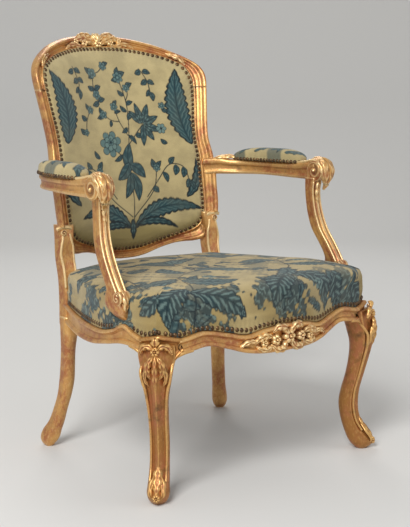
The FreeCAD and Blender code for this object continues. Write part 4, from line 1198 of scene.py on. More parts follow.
# %% [markdown]
# ## Needlework material
# Close rows of small slanted stitches give a fine rib. The node group turns two cloth coordinates
# into a stitch height and a stitch tone; the material mixes the wools by the painted amounts,
# fades them in soft patches and roughens them like wool.

# %% Needlework group
weave, win, wout = group("needlework stitches", [("Place", "NodeSocketVector", None),
                                                 ("Pitch", "NodeSocketFloat", 0.0017)],
                         [("Height", "NodeSocketFloat"), ("Tone", "NodeSocketFloat"),
                          ("Fade", "NodeSocketFloat")])
parts = node(weave, "ShaderNodeSeparateXYZ", {0: win.outputs["Place"]})
u = math(weave, "DIVIDE", parts.outputs[0], win.outputs["Pitch"])
v = math(weave, "DIVIDE", parts.outputs[1], win.outputs["Pitch"])
wob = math(weave, "MULTIPLY", math(weave, "SUBTRACT", noise(weave, win.outputs["Place"], 90.0, 2.0), 0.5),
           1.6)
rows = math(weave, "SINE", math(weave, "MULTIPLY", math(weave, "ADD", v, wob), 6.2832))
slant = math(weave, "SINE", math(weave, "MULTIPLY",
                                 math(weave, "ADD", math(weave, "ADD", u, math(weave, "MULTIPLY", v, 0.5)),
                                      wob), 6.2832))
stitch = math(weave, "ADD", math(weave, "MULTIPLY", rows, 0.32),
              math(weave, "MULTIPLY_ADD", slant, 0.18, 0.5))
weave.links.new(stitch, wout.inputs["Height"])
weave.links.new(math(weave, "MULTIPLY_ADD", noise(weave, win.outputs["Place"], 620.0, 2.0), 0.5,
                     math(weave, "MULTIPLY", stitch, 0.5)), wout.inputs["Tone"])
weave.links.new(noise(weave, win.outputs["Place"], 16.0, 4.0, 0.6), wout.inputs["Fade"])


def needlework(name, ground=(196, 178, 130), fade=0.10, dark=(22, 38, 44), teal=(44, 74, 80),
               pale=(106, 134, 130),
               olive=(140, 124, 66)):
    material, tree, skin = new_material(name)
    place = node(tree, "ShaderNodeAttribute", attribute_name="cloth_place").outputs["Vector"]
    g = tree.nodes.new("ShaderNodeGroup")
    g.node_tree = weave
    tree.links.new(place, g.inputs["Place"])
    wools = node(tree, "ShaderNodeAttribute", attribute_name="wool")
    amount = node(tree, "ShaderNodeSeparateColor", {0: wools.outputs["Color"]})
    tone, faded = g.outputs["Tone"], g.outputs["Fade"]
    base = mix(tree, ramp(tree, faded, 0.35, 0.65), colour(*ground),
               colour(*(int(c * 0.90) for c in ground)))
    worn = math(tree, "MULTIPLY_ADD", ramp(tree, faded, 0.42, 0.70), -fade, 1.0)
    red, green, blue = amount.outputs
    every = math(tree, "ADD", math(tree, "ADD", red, green),
                 math(tree, "ADD", blue, wools.outputs["Alpha"]))
    total = math(tree, "MULTIPLY_ADD", every, -1.0, 1.0, clamp=True)
    for part, shade in ((wools.outputs["Alpha"], olive), (green, teal), (blue, pale), (red, dark)):
        total = math(tree, "ADD", total, part)
        share = math(tree, "DIVIDE", part, math(tree, "MAXIMUM", total, 0.001), clamp=True)
        base = mix(tree, math(tree, "MULTIPLY", share, worn), base, colour(*shade))
    base = mix(tree, math(tree, "MULTIPLY_ADD", tone, 1.6, -0.25, clamp=True),
               mix(tree, 1.0, base, (0.62, 0.62, 0.60, 1), "MULTIPLY"),
               base)
    tree.links.new(base, skin.inputs["Base Color"])
    skin.inputs["Roughness"].default_value = 0.92
    skin.inputs["Specular IOR Level"].default_value = 0.15
    skin.inputs["Sheen Weight"].default_value = 0.15
    skin.inputs["Sheen Roughness"].default_value = 0.6
    add_bump(tree, skin, g.outputs["Height"], 0.5, 0.0006)
    return material


NEEDLEWORK = needlework("needlework")
NEEDLEWORK_SEAT = needlework("needlework of the seat", fade=0.22, ground=(194, 175, 128), teal=(54, 80, 84),
                             pale=(122, 146, 140),
                              olive=(154, 130, 72))

# %% [markdown]
# ## Seat cover
# The seat is a deep stuffed cushion built on webbing, and the cover is drawn down over its edge
# and nailed just above the carved lip. The nails pull small hollows into the cloth and leave short
# folds above them.

# %% Seat cover form
def seat_edge():
    """Points (across, depth, lip height) round the seat, from the right knee and back again."""
    xs = np.linspace(0, 262, 60)
    ys = np.linspace(-228, 168, 90)
    half = [(x, float(front_y(x)), float(lip_front(x))) for x in xs]
    half += [(278, float(front_y(278)) + 4, LIP + 1), (289.5, KNEE_LINE + 1, LIP + 4), (294, -243, LIP + 3)]
    half += [(float(side_x(y)), y, float(lip_side(y))) for y in ys]
    half += [(221, 184, LIP - 4), (211, 200, LIP - 4), (188, 208.5, LIP - 4)]
    half += [(x, float(rear_line(x)) + 24, LIP - 4) for x in np.linspace(176, 0, 30)]
    return half + [(-a, b, c) for a, b, c in half[-2:0:-1]]


SEAT = Outline(seat_edge(), [(289, KNEE_LINE), (218, 192), (-218, 192), (-289, KNEE_LINE)])
SEAT_LEVELS = [(8.5, 24, 0.0, 1.0), (7, 36, 0.003, 1.0), (6.5, 46, 0.006, 1.0), (7, 56, 0.01, 1.0),
               (9, 64, 0.015, 1.0),
               (13, 71, 0.02, 1.0), (18, 76, 0.025, 0.985), (20, 80, 0.027, 0.96), (20, 84, 0.03, 0.9),
               (20, 87.5, 0.03, 0.8),
               (20, 90, 0.03, 0.62), (20, 91.3, 0.03, 0.4), (20, 91.8, 0.03, 0.18), (20, 92, 0.03, 0.0)]
SEAT_STEPS = np.array([0, 26, 38, 48, 58, 66, 75, 84, 94, 112, 142, 196, 262, 328, 382], float)
SEAT_MIDDLE = (KNEE_LINE + POST_LINE) / 2
NAIL_PITCH = 10.6
seat_curves = [curve_through(*zip(SEAT_STEPS[1:], [r[k] for r in SEAT_LEVELS])) for k in range(4)]


def nail_phase(outline, far):
    """Nail number at a length along an edge, whole half way between nails, and the distance to the nail."""
    phase = far / outline.length * round(outline.length / NAIL_PITCH)
    return phase, (phase - np.floor(phase) - 0.5) * NAIL_PITCH


def seat_cover_points(ring, around):
    """Cover points: down from the crown by ring, with the nails' hollows and folds pressed in."""
    edge, inward, far = SEAT.at(around)
    along = (1 - ring) * SEAT_STEPS[-1]
    inset, level, tilt, share = (f(along) for f in seat_curves)
    skirt = np.clip(along / SEAT_STEPS[1], 0, 1)
    inset = np.where(along < SEAT_STEPS[1], 8 + 0.5 * skirt + 1.5 * np.sin(np.pi * skirt), inset)
    plan = edge[..., :2] + inward * inset[..., None]
    plan = np.array([0, SEAT_MIDDLE]) + (plan - [0, SEAT_MIDDLE]) * share[..., None]
    full = LIP + level - tilt * (plan[..., 1] - SEAT_MIDDLE)
    z = np.where(along < SEAT_STEPS[1], (edge[..., 2] + 1.2) * (1 - skirt) + (LIP + 24) * skirt, full)
    phase, off = nail_phase(SEAT, far)
    press = 1.3 * np.exp(-(off / 3.0) ** 2) * np.exp(-((along - 6) / 6) ** 2)
    ridge = 0.9 * (0.5 - 0.5 * np.cos(2 * np.pi * (phase - 0.5)))
    uneven = 0.6 + 0.4 * np.sin(far * 0.13) * np.sin(far * 0.041)
    fold = ridge * np.exp(-((along - 9) / 15) ** 2) * (along > 2) * uneven
    swell = 1.6 * np.sin(far * 0.021 + 1.0) * np.exp(-((along - 45) / 28) ** 2)
    plan = plan + inward * (press - fold - swell)[..., None]
    x, y = plan[..., 0], plan[..., 1]
    soft = smoothstep(60, 150, along)
    z = z + soft * (1.5 * np.sin(x * 0.017 + 0.6) * np.sin(y * 0.021 + 1.1)
                    + 0.8 * np.sin(x * 0.041 - y * 0.033)
                    - 3.0 * np.exp(-((x - 20) ** 2 + (y + 10) ** 2) / 150 ** 2))
    return np.concatenate([plan, z[..., None]], -1)


def seat_cloth_place(ring, around):
    """Flat coordinates of the cloth in millimetres: the plan on top, unrolled outwards down the skirt."""
    edge, _, _ = SEAT.at(around)
    along = (1 - ring) * SEAT_STEPS[-1]
    inset, share = seat_curves[0](along), seat_curves[3](along)
    plan = edge[..., :2]
    away = unit(plan - [0, SEAT_MIDDLE])
    plan = plan + away * (np.maximum(75 - along, 0) - 13 - np.maximum(inset - 13, 0))[..., None]
    return np.array([0, SEAT_MIDDLE]) + (plan - [0, SEAT_MIDDLE]) * share[..., None]


def closing_rings(edge_points, inward, steps):
    """Rings that carry a cover's edge under it: each step is (inwards, height or move, share)."""
    rings = []
    middle = edge_points.mean(axis=0)
    for inset, z, share in steps:
        p = edge_points.copy()
        p[:, :2] += inward * inset
        p[:, :2] = middle[:2] + (p[:, :2] - middle[:2]) * share
        p[:, 2] = z if z is not None else p[:, 2]
        rings.append(p)
    return np.stack(rings)


SEAT_FINE = 128
COARSE = 48    # rings of the simulated cloth
coarse_ring, coarse_around = square_rings(COARSE)
coarse = seat_cover_points(coarse_ring, coarse_around)
seat_moves = settle("seat cloth", coarse, COARSE, 1 - 24 / SEAT_STEPS[-1], 4.0, 5.0)
ring, around = square_rings(SEAT_FINE)
seat_top = seat_cover_points(ring, around) + spread_moves(seat_moves, SEAT_FINE)
edge = square_edge(SEAT_FINE)
_, edge_in, _ = SEAT.at(around.ravel()[edge])
seat_under = closing_rings(seat_top.reshape(-1, 3)[edge], edge_in,
                           [(3.6, None, 1.0), (4.0, WOOD_TOP + 0.4, 1.0),
                                                                    (9, 360.2, 1.0), (30, 360.2, 1.0),
                            (40, 360.2, 0.5),
                                                                    (40, 360.2, 0.1)])
place = seat_cloth_place(ring, around)
print("seat grid", seat_top.shape, "height", round(float(seat_top[..., 2].max()), 1))


# %% Seat pattern
def seat_pattern(at):
    """Large feathered leaves and stems spread from two roots, with small flowers between them."""
    ink = np.zeros(at.shape[:-1] + (4,))
    green = smoothstep(0.35, 0.75, 0.5 + 0.25 * np.sin(at[..., 0] * 0.023 + 1)
                       + 0.25 * np.sin(at[..., 1] * 0.03 + at[..., 0] * 0.011))
    rim = smoothstep(-235, -330, at[..., 1]) + smoothstep(235, 320, np.abs(at[..., 0]))
    ink = stamp(ink, np.clip((0.35 + 0.65 * green) * rim, 0, 1) * 0.75, OLIVE)
    x, y = at[..., 0], at[..., 1]
    cloud = (np.sin(x * 0.031 + 1.7 * np.sin(y * 0.017)) + np.sin(y * 0.037 + 1.3 * np.sin(x * 0.023 + 2))
             + 0.7 * np.sin(x * 0.083 - y * 0.061)
             + 0.5 * np.sin(x * 0.171 + y * 0.133 + 1) + 0.35 * np.sin(x * 0.29 - y * 0.31))
    # The skirt's wools are darkened towards DARK: painted shade on its upright faces, over a denser pattern
    # there.
    skirt = np.clip(smoothstep(-215, -300, y) + smoothstep(225, 295, np.abs(x)), 0, 1)
    lobes = cloud + 0.45 * skirt - 0.25
    mass = smoothstep(0.34, 0.50, lobes)[..., None]
    wool = TEAL * (1 - 0.45 * skirt[..., None]) + DARK * 0.45 * skirt[..., None]
    feather = smoothstep(0.45, 0.95, np.sin(0.34 * x + 0.16 * y + 3.2 * cloud)) * (0.35 + 0.3 * skirt)
    ink = stamp(ink, mass[..., 0] * (0.45 + 0.5 * skirt), wool * (1 - feather[..., None])
                + PALE * feather[..., None])
    ink = stamp(ink, np.exp(-((lobes - 0.42) / 0.09) ** 2) * (0.45 + 0.5 * skirt), DARK)
    chance = np.random.default_rng(5)
    for k in range(150):
        root = np.array([chance.uniform(-310, 310), chance.uniform(-350, 235)])
        turn, long = chance.uniform(0, 2 * np.pi), chance.uniform(24, 52)
        tip = root + long * np.array([np.cos(turn), np.sin(turn)])
        ink = paint_leaf(ink, at, root, tip, long * 0.24, chance.uniform(-0.25, 0.25), veins=3, shade=0.35,
                         rim=2.2)
    stems = ([(-250, -330), (-180, -250), (-150, -150), (-60, -90), (-20, 40)],
             [(40, -340), (60, -240), (130, -170), (180, -40), (150, 90)],
             [(-60, -90), (40, -60), (90, -110)], [(250, -310), (230, -200), (265, -80), (230, 60)],
             [(-270, -180), (-230, -60), (-245, 60)],
             [(-150, -150), (-200, -60), (-170, 60), (-120, 140)],
             [(180, -40), (90, 10), (60, 110), (90, 180)])
    for s in stems:
        ink = paint_stem(ink, at, s, 3.2)
    leaves = [((-195, -262), (-110, -345), 24, 0.12, 7), ((-195, -255), (-305, -300), 22, -0.14, 7),
              ((-165, -180), (-60, -235), 25, -0.16, 8),
              ((-160, -160), (-262, -150), 22, 0.15, 7), ((-110, -110), (-90, -10), 20, 0.15, 6),
              ((-60, -90), (40, -165), 22, 0.18, 7),
              ((-30, 20), (-110, 80), 20, -0.16, 6), ((-25, 30), (60, 70), 20, 0.16, 6),
              ((55, -260), (-30, -345), 26, -0.15, 8),
              ((58, -250), (150, -350), 26, 0.15, 8), ((100, -190), (10, -265), 18, 0.14, 6),
              ((140, -150), (240, -200), 24, -0.16, 7),
              ((165, -90), (80, -60), 20, -0.14, 6), ((180, -40), (262, 0), 20, 0.14, 6),
              ((165, 40), (90, 120), 22, 0.16, 6),
              ((150, 90), (205, 165), 18, -0.14, 6), ((245, -230), (320, -250), 20, 0.14, 6),
              ((250, -130), (318, -100), 20, -0.12, 6),
              ((230, 30), (290, 80), 18, 0.12, 5), ((-235, -80), (-300, -60), 20, 0.1, 6),
              ((-240, 20), (-285, 90), 18, -0.12, 5),
              ((-180, -20), (-110, 10), 17, 0.12, 5), ((-150, 100), (-190, 175), 18, 0.12, 5),
              ((60, 110), (-10, 150), 18, -0.14, 6),
              ((-265, -250), (-322, -215), 17, 0.1, 5), ((170, -260), (215, -335), 20, -0.15, 6),
              ((240, -290), (300, -335), 18, 0.12, 5)]
    for a, b, w, bend, n in leaves:
        # Leaves on the skirt get a darker body: painted shade on the skirt's upright faces.
        dark = float(np.clip(max(-0.5 * (a[1] + b[1]) - 190, abs(a[0] + b[0]) / 2 - 190) / 80, 0, 1)) * 0.6
        ink = paint_leaf(ink, at, a, b, w * 1.25, bend, scallops=n, veins=n, body=TEAL * (1 - dark)
                         + DARK * dark,
                         shade=0.7, rim=3.4)
    for c, r in (((-10, 50), 22), ((150, 100), 20), ((-120, 145), 18), ((90, 185), 16), ((-95, -185), 15),
                 ((205, -120), 16),
                 ((0, -130), 14), ((-230, -215), 15), ((110, -300), 16), ((285, -160), 14),
                 ((-290, -120), 14), ((20, 210), 15)):
        ink = paint_flower(ink, at, c, r, 5, turn=c[0] * 0.1)
    return ink


seat = cover_piece("seat_cover_cloth", seat_top, seat_under, place, seat_pattern(place))
finish_piece(seat, NEEDLEWORK_SEAT, "needlework", "seat_cover", "seat_stuffing")

# %% [markdown]
# ## Back panel
# The back is stuffed too, but thinner, over webbing stretched in the frame. Its cover is drawn over
# the stuffing into the hollow of the frame and nailed on a narrow ledge all round.

# %% Back cover form
def back_edge():
    """Points (across, height) of the panel opening, from the middle of the foot and up the right side."""
    rows = [s[0] for s in FOOT_ROWS] + [s[0] for s in STILE_ROWS[1:]] + [s[0] for s in CREST_ROWS[1:]]
    half = path_through([(a * POST_HALF, PANEL_FOOT + b * BACK_RISE) for a, b in rows], 400)
    return [tuple(p) for p in half] + [(-a, b) for a, b in half[-2:0:-1]]


BACK = Outline(back_edge(), [(182, 496), (196, 838), (-196, 838), (-182, 496)])
LEDGE = 8.28
# Each row: way in from the cover's edge, depth behind the frame's front (less is further forward)
BACK_LEVELS = [(0, 2.2), (3.0, 1.4), (6.0, 0.2), (9, -2.6), (13, -6.2), (19, -10.4), (28, -14.4),
               (42, -17.8), (62, -20.4), (90, -22.4),
               (130, -24.2), (175, -25.4), (210, -25.8)]
back_depth = curve_through(*BACK_LEVELS)
BACK_CENTRE, BACK_REACH = np.array([0, 655.0]), 205.0


def back_cover_points(ring, around):
    """Cover of the back: rings shrink towards the middle; the depth is that of the frame's hollow
    less the swell."""
    edge, inward, far = BACK.at(around)
    edge = edge[..., :2] - inward * LEDGE
    core = BACK_CENTRE + (edge - BACK_CENTRE) * ring[..., None]
    along = (1 - ring) * BACK_REACH
    phase, off = nail_phase(BACK, far)
    press = 1.0 * np.exp(-(off / 3.0) ** 2) * np.exp(-((along - 4.5) / 4) ** 2)
    fold = 0.7 * (0.5 - 0.5 * np.cos(2 * np.pi * (phase - 0.5))) * np.exp(-((along - 10) / 9) ** 2)
    x, z = core[..., 0], core[..., 1]
    low = smoothstep(0.985, 0.8, ring)
    wave = 0.7 * np.sin(x * 0.023 + z * 0.017) * low + 0.4 * np.sin(x * 0.05 - z * 0.031 + 2) * low
    y = back_y(x, z) + back_depth(along) + press - fold + wave
    return np.stack([x, y, z], -1), core


BACK_FINE = 140
back_coarse, _ = back_cover_points(coarse_ring, coarse_around)
back_moves = settle("back cloth", back_coarse, COARSE, 1 - 9 / BACK_REACH, 3.0, 3.0)
ring, around = square_rings(BACK_FINE)
back_top, back_place = back_cover_points(ring, around)
back_top = back_top + spread_moves(back_moves, BACK_FINE)
edge = square_edge(BACK_FINE)
e2, i2, _ = BACK.at(around.ravel()[edge])
turned = []
for grow, depth in ((0.0, 3.6), (-LEDGE - 0.4, 4.8), (-LEDGE - 1.0, 9.0)):
    xz = e2[:, :2] - i2 * (LEDGE + grow)
    turned.append(np.stack([xz[:, 0], back_y(xz[:, 0], xz[:, 1]) + depth, xz[:, 1]], 1))
for share in (0.6, 0.1):
    xz = BACK_CENTRE + (e2[:, :2] - BACK_CENTRE) * share
    turned.append(np.stack([xz[:, 0], back_y(xz[:, 0], xz[:, 1]) + 9.0, xz[:, 1]], 1))
print("back grid", back_top.shape, "furthest forward", round(float(back_top[..., 1].min()), 1))


# %% Back pattern
def back_pattern(at):
    """One flowering stem that rises from a mound between two big curling leaves."""
    ink = np.zeros(at.shape[:-1] + (4,))
    x, z = at[..., 0], at[..., 1]
    ink = stamp(ink, smoothstep(506, 462, z - 10 * np.cos(x * 0.03)) * 0.7, OLIVE)
    for way in ([(10, 470), (15, 540), (11, 600), (18, 668), (27, 720), (31, 770), (24, 825)],
                [(18, 668), (40, 690), (65, 715)],
                [(12, 640), (-8, 645), (-33, 672)], [(19, 690), (2, 722), (-6, 757)],
                [(2, 722), (-20, 726), (-40, 740)],
                [(-46, 764), (-52, 800), (-48, 836)], [(31, 770), (40, 786), (39, 800)],
                [(-48, 836), (-30, 838), (-10, 852)],
                [(-104, 852), (-96, 822), (-101, 786)], [(84, 845), (98, 815), (99, 780)],
                [(52, 545), (86, 585), (118, 619), (150, 612), (162, 566)],
                [(-34, 545), (-66, 585), (-98, 619), (-128, 612), (-140, 566)],
                [(-100, 700), (-92, 730), (-76, 752)], [(65, 715), (92, 712), (110, 704)],
                [(14, 500), (70, 560), (84, 610)], [(8, 500), (-56, 555), (-76, 610)]):
        ink = paint_stem(ink, at, way, 2.4)
    for root, tip, width, bend, lobes in (
            ((-166, 680), (-184, 846), 34, -0.13, 12), ((180, 664), (172, 846), 31, 0.11, 12),
                                          ((12, 474), (188, 510), 22, 0.16, 12),
            ((4, 474), (-150, 510), 21, -0.17, 11), ((14, 478), (128, 466), 11, 0.14, 7),
                                          ((0, 476), (-104, 464), 11, -0.14, 7),
            ((150, 540), (184, 632), 15, -0.14, 6), ((-150, 540), (-186, 632), 15, 0.14, 6),
                                          ((8, 496), (9, 446), 10, 0.0, 4)):
        ink = paint_leaf(ink, at, root, tip, width, bend, scallops=lobes, veins=lobes, shade=0.5, rim=4.6)
    for root, tip, width in (
            ((12, 606), (20, 672), 15), ((12, 626), (-26, 588), 14), ((13, 622), (52, 590), 14),
                             ((14, 604), (28, 536), 13), ((10, 600), (-8, 544), 12),
            ((-4, 646), (-30, 632), 6), ((20, 690), (40, 668), 6), ((22, 708), (4, 696), 6),
                             ((25, 726), (48, 742), 7), ((28, 744), (12, 760), 6),
            ((30, 760), (50, 768), 6), ((30, 782), (14, 796), 6), ((39, 800), (58, 812), 7),
                             ((24, 825), (46, 838), 8), ((24, 825), (4, 818), 7),
            ((24, 825), (30, 850), 7), ((-10, 852), (8, 860), 6), ((-48, 836), (-66, 850), 8),
                             ((-48, 836), (-62, 824), 7), ((-50, 800), (-70, 806), 7),
            ((-50, 796), (-30, 806), 7), ((-46, 770), (-66, 762), 7), ((-46, 770), (-26, 776), 7),
                             ((-6, 757), (6, 772), 6), ((-8, 742), (12, 746), 5),
            ((-40, 740), (-60, 732), 6), ((-40, 740), (-48, 758), 6), ((-22, 726), (-26, 710), 5),
                             ((-104, 846), (-122, 838), 7), ((-102, 846), (-84, 836), 7),
            ((-98, 826), (-114, 814), 7), ((-97, 824), (-80, 814), 7), ((-99, 806), (-112, 792), 6),
                             ((-99, 802), (-101, 776), 7), ((86, 842), (70, 832), 7),
            ((90, 838), (110, 834), 7), ((96, 820), (80, 808), 7), ((97, 816), (114, 808), 7),
                             ((99, 796), (88, 780), 6), ((99, 792), (103, 768), 7),
            ((118, 619), (132, 636), 7), ((132, 618), (128, 592), 8), ((150, 612), (146, 586), 8),
                             ((160, 584), (152, 562), 8), ((162, 578), (172, 556), 7),
            ((100, 602), (108, 576), 7), ((84, 610), (74, 634), 8), ((84, 608), (98, 628), 7),
                             ((68, 566), (84, 554), 8), ((-98, 619), (-112, 636), 7),
            ((-112, 618), (-108, 592), 8), ((-130, 612), (-126, 586), 8), ((-140, 584), (-132, 562), 8),
                             ((-76, 610), (-66, 634), 8), ((-48, 566), (-64, 554), 8),
            ((-100, 700), (-118, 712), 7), ((-92, 730), (-108, 742), 7), ((-76, 752), (-88, 768), 6),
                             ((40, 690), (58, 684), 7), ((132, 742), (118, 756), 6),
            ((-70, 640), (-84, 660), 6), ((120, 668), (104, 680), 6)):
        ink = paint_leaf(ink, at, root, tip, width, 0.1, veins=3, shade=0.3, rim=2.0)
    ink = paint_spray(ink, at, (65, 715), (104, 136, 66, 24, -20, -58, -96), 52, 9, veins=3, shade=0.5,
                      rim=1.8)
    ink = paint_spray(ink, at, (65, 715), (120, 84, 44, 0, -40), 30, 7, veins=2, shade=0.9, rim=1.4)
    for centre, size, count, body, heart in (
            ((110, 704), 13, 6, PALE, DARK), ((-33, 672), 31, 7, TEAL, PALE),
                                             ((-33, 674), 19, 6, PALE, DARK),
                                             ((-33, 676), 9, 5, TEAL, DARK),
            ((-6, 757), 11, 5, TEAL, PALE), ((-40, 740), 11, 5, TEAL, PALE), ((24, 825), 14, 6, TEAL, PALE),
                                             ((-48, 836), 13, 5, TEAL, PALE),
            ((-48, 786), 12, 5, TEAL, PALE), ((39, 800), 10, 5, TEAL, PALE),
                                             ((-10, 852), 11, 5, TEAL, PALE),
                                             ((-76, 752), 10, 5, TEAL, PALE),
            ((-100, 702), 9, 5, TEAL, PALE), ((84, 612), 10, 5, TEAL, PALE),
                                             ((-76, 612), 10, 5, TEAL, PALE),
                                             ((120, 758), 9, 5, TEAL, PALE)):
        ink = paint_flower(ink, at, centre, size, count, turn=centre[0] * 0.2, body=body, heart=heart)
    return ink


back_cover = cover_piece("back_cover_cloth", back_top, np.stack(turned), back_place,
                         back_pattern(back_place))
finish_piece(back_cover, NEEDLEWORK, "needlework", "back_cover_front", "back_stuffing")

# %% [markdown]
# ## Arm pads
# The arm pads are small stuffed rolls, covered in the same needlework and nailed along both sides
# and round the ends.

# %% Arm pad form
PAD_FROM, PAD_TO, PAD_HEIGHT = 0.22, 0.84, 21.0
PAD_LEVEL = ARM_UNDER + ARM_WOOD + 4
PAD_NAILS, PAD_COARSE = 46, 30
pad_swell = curve_through((0, 0.35), (0.06, 0.72), (0.2, 0.95), (0.5, 1), (0.8, 0.98), (0.94, 0.75),
                          (1, 0.35))
arm_line = path_through(ARM_PATH, 400)
arm_way = unit(np.gradient(arm_line, axis=0))


def arm_place(share, across):
    at = np.clip(share, 0, 1) * 399
    p = np.stack([np.interp(at, np.arange(400), arm_line[:, k]) for k in (0, 1)], -1)
    w = np.stack([np.interp(at, np.arange(400), arm_way[:, k]) for k in (0, 1)], -1)
    return p + np.stack([-w[..., 1], w[..., 0]], -1) * across[..., None]


def pad_points(ring, around):
    """Pad cover: the rings are rounded oblongs along the arm; the height is a pillow that ends in a
    short skirt."""
    a = (around - 0.125) * 2 * np.pi
    c, s = np.cos(a), np.sin(a)
    power = 3.4
    size = (np.abs(c) ** power + np.abs(s) ** power) ** (-1 / power)
    skirt = smoothstep(0.80, 1.0, ring)
    grow = np.minimum(ring / 0.86, 1.0)
    n = 0.5 - 0.5 * c * size * grow
    share = PAD_FROM + (PAD_TO - PAD_FROM) * n
    width = (arm_half(share) + 4) * (0.8 + 0.2 * pad_swell(n))
    across = s * size * grow * width * (1 + 0.04 * np.sin(np.pi * np.clip((ring - 0.86) / 0.14, 0, 1)))
    tall = (PAD_HEIGHT + 5) * pad_swell(0.5 + (n - 0.5) * 0.9)
    dome = (1 - np.clip(ring / 0.90, 0, 1) ** 3.2) ** 0.5
    z = PAD_LEVEL + 0.28 * tall * (1 - skirt) + 0.72 * tall * dome - 3.6 * skirt
    fold = 0.8 * (0.5 + 0.5 * np.cos(2 * np.pi * around * PAD_NAILS))
    fold = fold * smoothstep(0.74, 0.86, ring) * (1 - smoothstep(0.93, 1.0, ring))
    across = across + s * fold
    flat = arm_place(share, across)
    return np.concatenate([flat, z[..., None]], -1), np.stack([(share - 0.5) * 330, across
                                                               + s * skirt * 14], -1)


def pad_pattern(at):
    """Dark and straw bands with small leaves across the pad."""
    ink = np.zeros(at.shape[:-1] + (4,))
    ink = stamp(ink, smoothstep(0.15, 0.5, np.sin(at[..., 0] * 0.055 + 0.02 * at[..., 1])) * 0.7, TEAL)
    for k, x in enumerate(np.linspace(-85, 105, 9)):
        ink = paint_leaf(ink, at, (x - 12, -24 + 3 * (k % 3)), (x + 14, 22 - 4 * (k % 2)), 9,
                         0.16 * (-1) ** k, scallops=4, veins=4, shade=0.8)
    return ink


PAD_FINE = 52
pad_ring, pad_around = square_rings(PAD_COARSE)
pad_coarse, _ = pad_points(pad_ring, pad_around)
pad_moves = settle("pad cloth", pad_coarse, PAD_COARSE, 0.84, 4.0, 1.5)
ring, around = square_rings(PAD_FINE)
pad_top, pad_place = pad_points(ring, around)
pad_top = pad_top + spread_moves(pad_moves, PAD_FINE)
edge = square_edge(PAD_FINE)
rim_points = pad_top.reshape(-1, 3)[edge]
front_end, rear_end = rim_points[:, 1].min(), rim_points[:, 1].max()
run = np.clip((rim_points[:, 1] - rear_end) / (front_end - rear_end), 0.08, 0.92)
middle = arm_place(PAD_FROM + (PAD_TO - PAD_FROM) * run, np.zeros(len(edge)))
pad_under = []
for share in (0.97, 0.6, 0.15):
    flat = middle + (rim_points[:, :2] - middle) * share
    pad_under.append(np.concatenate([flat, np.full((len(edge), 1), ARM_UNDER + ARM_WOOD + 0.2)], 1))
wool = pad_pattern(pad_place)
for side, sign in SIDES:
    pad = cover_piece("arm_pad_cloth_" + side, pad_top * [sign, 1, 1], np.stack(pad_under) * [sign, 1, 1],
                      pad_place, wool)
    finish_piece(pad, NEEDLEWORK, "needlework", "arm_pad_cover_" + side, "arm_pad_stuffing_" + side)

# %% [markdown]
# ## Brass-headed nails
# The covers are held by rows of small round-headed nails that nearly touch. Each head is a low
# dome set on the final cloth, tilted with it, and all heads of a row are one mesh. Old brass has
# gone brown, so the metal is dark with a soft shine.

# %% Nails
def nail_heads(name, places, ways, nodes, radius=5.0, rise=3.2):
    """Domes: rings at r = radius cos(a), h = rise sin(a) round each place, plus a collar into the cloth."""
    lift = np.array([-0.9, 0.0, 0.45, 0.85, 1.2, 1.45]) / 1.45 * (np.pi / 2)
    r = np.where(lift < 0, 1.0, np.cos(np.maximum(lift, 0)))[:-1] * radius
    h = np.where(lift < 0, -0.8, np.sin(np.maximum(lift, 0)) * rise)[:-1]
    a = np.linspace(0, 2 * np.pi, 10, endpoint=False)
    ways = unit(np.array(ways, float))
    places = np.array(places, float)
    across = unit(np.cross(ways, [0.13, 0.21, 1.0]))
    other = np.cross(ways, across)
    spin = (across[:, None, None] * np.cos(a)[None, None, :, None]
            + other[:, None, None] * np.sin(a)[None, None, :, None])
    body = places[:, None, None] + spin * r[None, :, None, None] + ways[:, None, None] * h[None, :, None,
                                                                                           None]
    tops = places + ways * rise
    n, rows, cols = body.shape[:3]
    each = rows * cols + 1
    verts = np.concatenate([body.reshape(n, -1, 3), tops[:, None]], 1).reshape(-1, 3)
    quads = grid_faces(rows, cols, True, 0)[:, ::-1]
    cap = ring_cap(rows * cols, rows - 1, 0, cols)
    faces = [f for part in (quads, cap) for k in range(n) for f in (part + k * each).tolist()]
    return finish_piece(mesh_piece(name, verts, faces), BRASS, "bronze_nails", *nodes)


BRASS, tree, skin = new_material("aged brass")
at = node(tree, "ShaderNodeTexCoord").outputs["Object"]
spot = noise(tree, at, 90.0, 3.0)
tree.links.new(mix(tree, ramp(tree, spot, 0.35, 0.7), colour(74, 58, 44), colour(120, 92, 60)),
               skin.inputs["Base Color"])
tree.links.new(math(tree, "MULTIPLY_ADD", spot, 0.25, 0.28), skin.inputs["Roughness"])
skin.inputs["Metallic"].default_value = 0.75


def frame_at(function, ring, around, step=0.002):
    """Place and outward way on a cover at ring and edge places, from small differences."""
    found = (function(ring, around), function(ring - step, around), function(ring, (around + step) % 1.0))
    p, q, s = (f[0] if isinstance(f, tuple) else f for f in found)
    return p, unit(np.cross(q - p, s - p))


def even_places(outline, count):
    """Places round the edge, evenly spaced by length, as the cover's own around value."""
    table = np.linspace(0, 1, 8001)
    far = outline.at(table)[2]
    far = np.unwrap(far / outline.length * 2 * np.pi) / (2 * np.pi) * outline.length
    want = (np.floor(far[0] / outline.length * count) + 0.5 + np.arange(count)) * outline.length / count
    want = far[0] + (want - far[0]) % outline.length
    return np.interp(want, far, table)


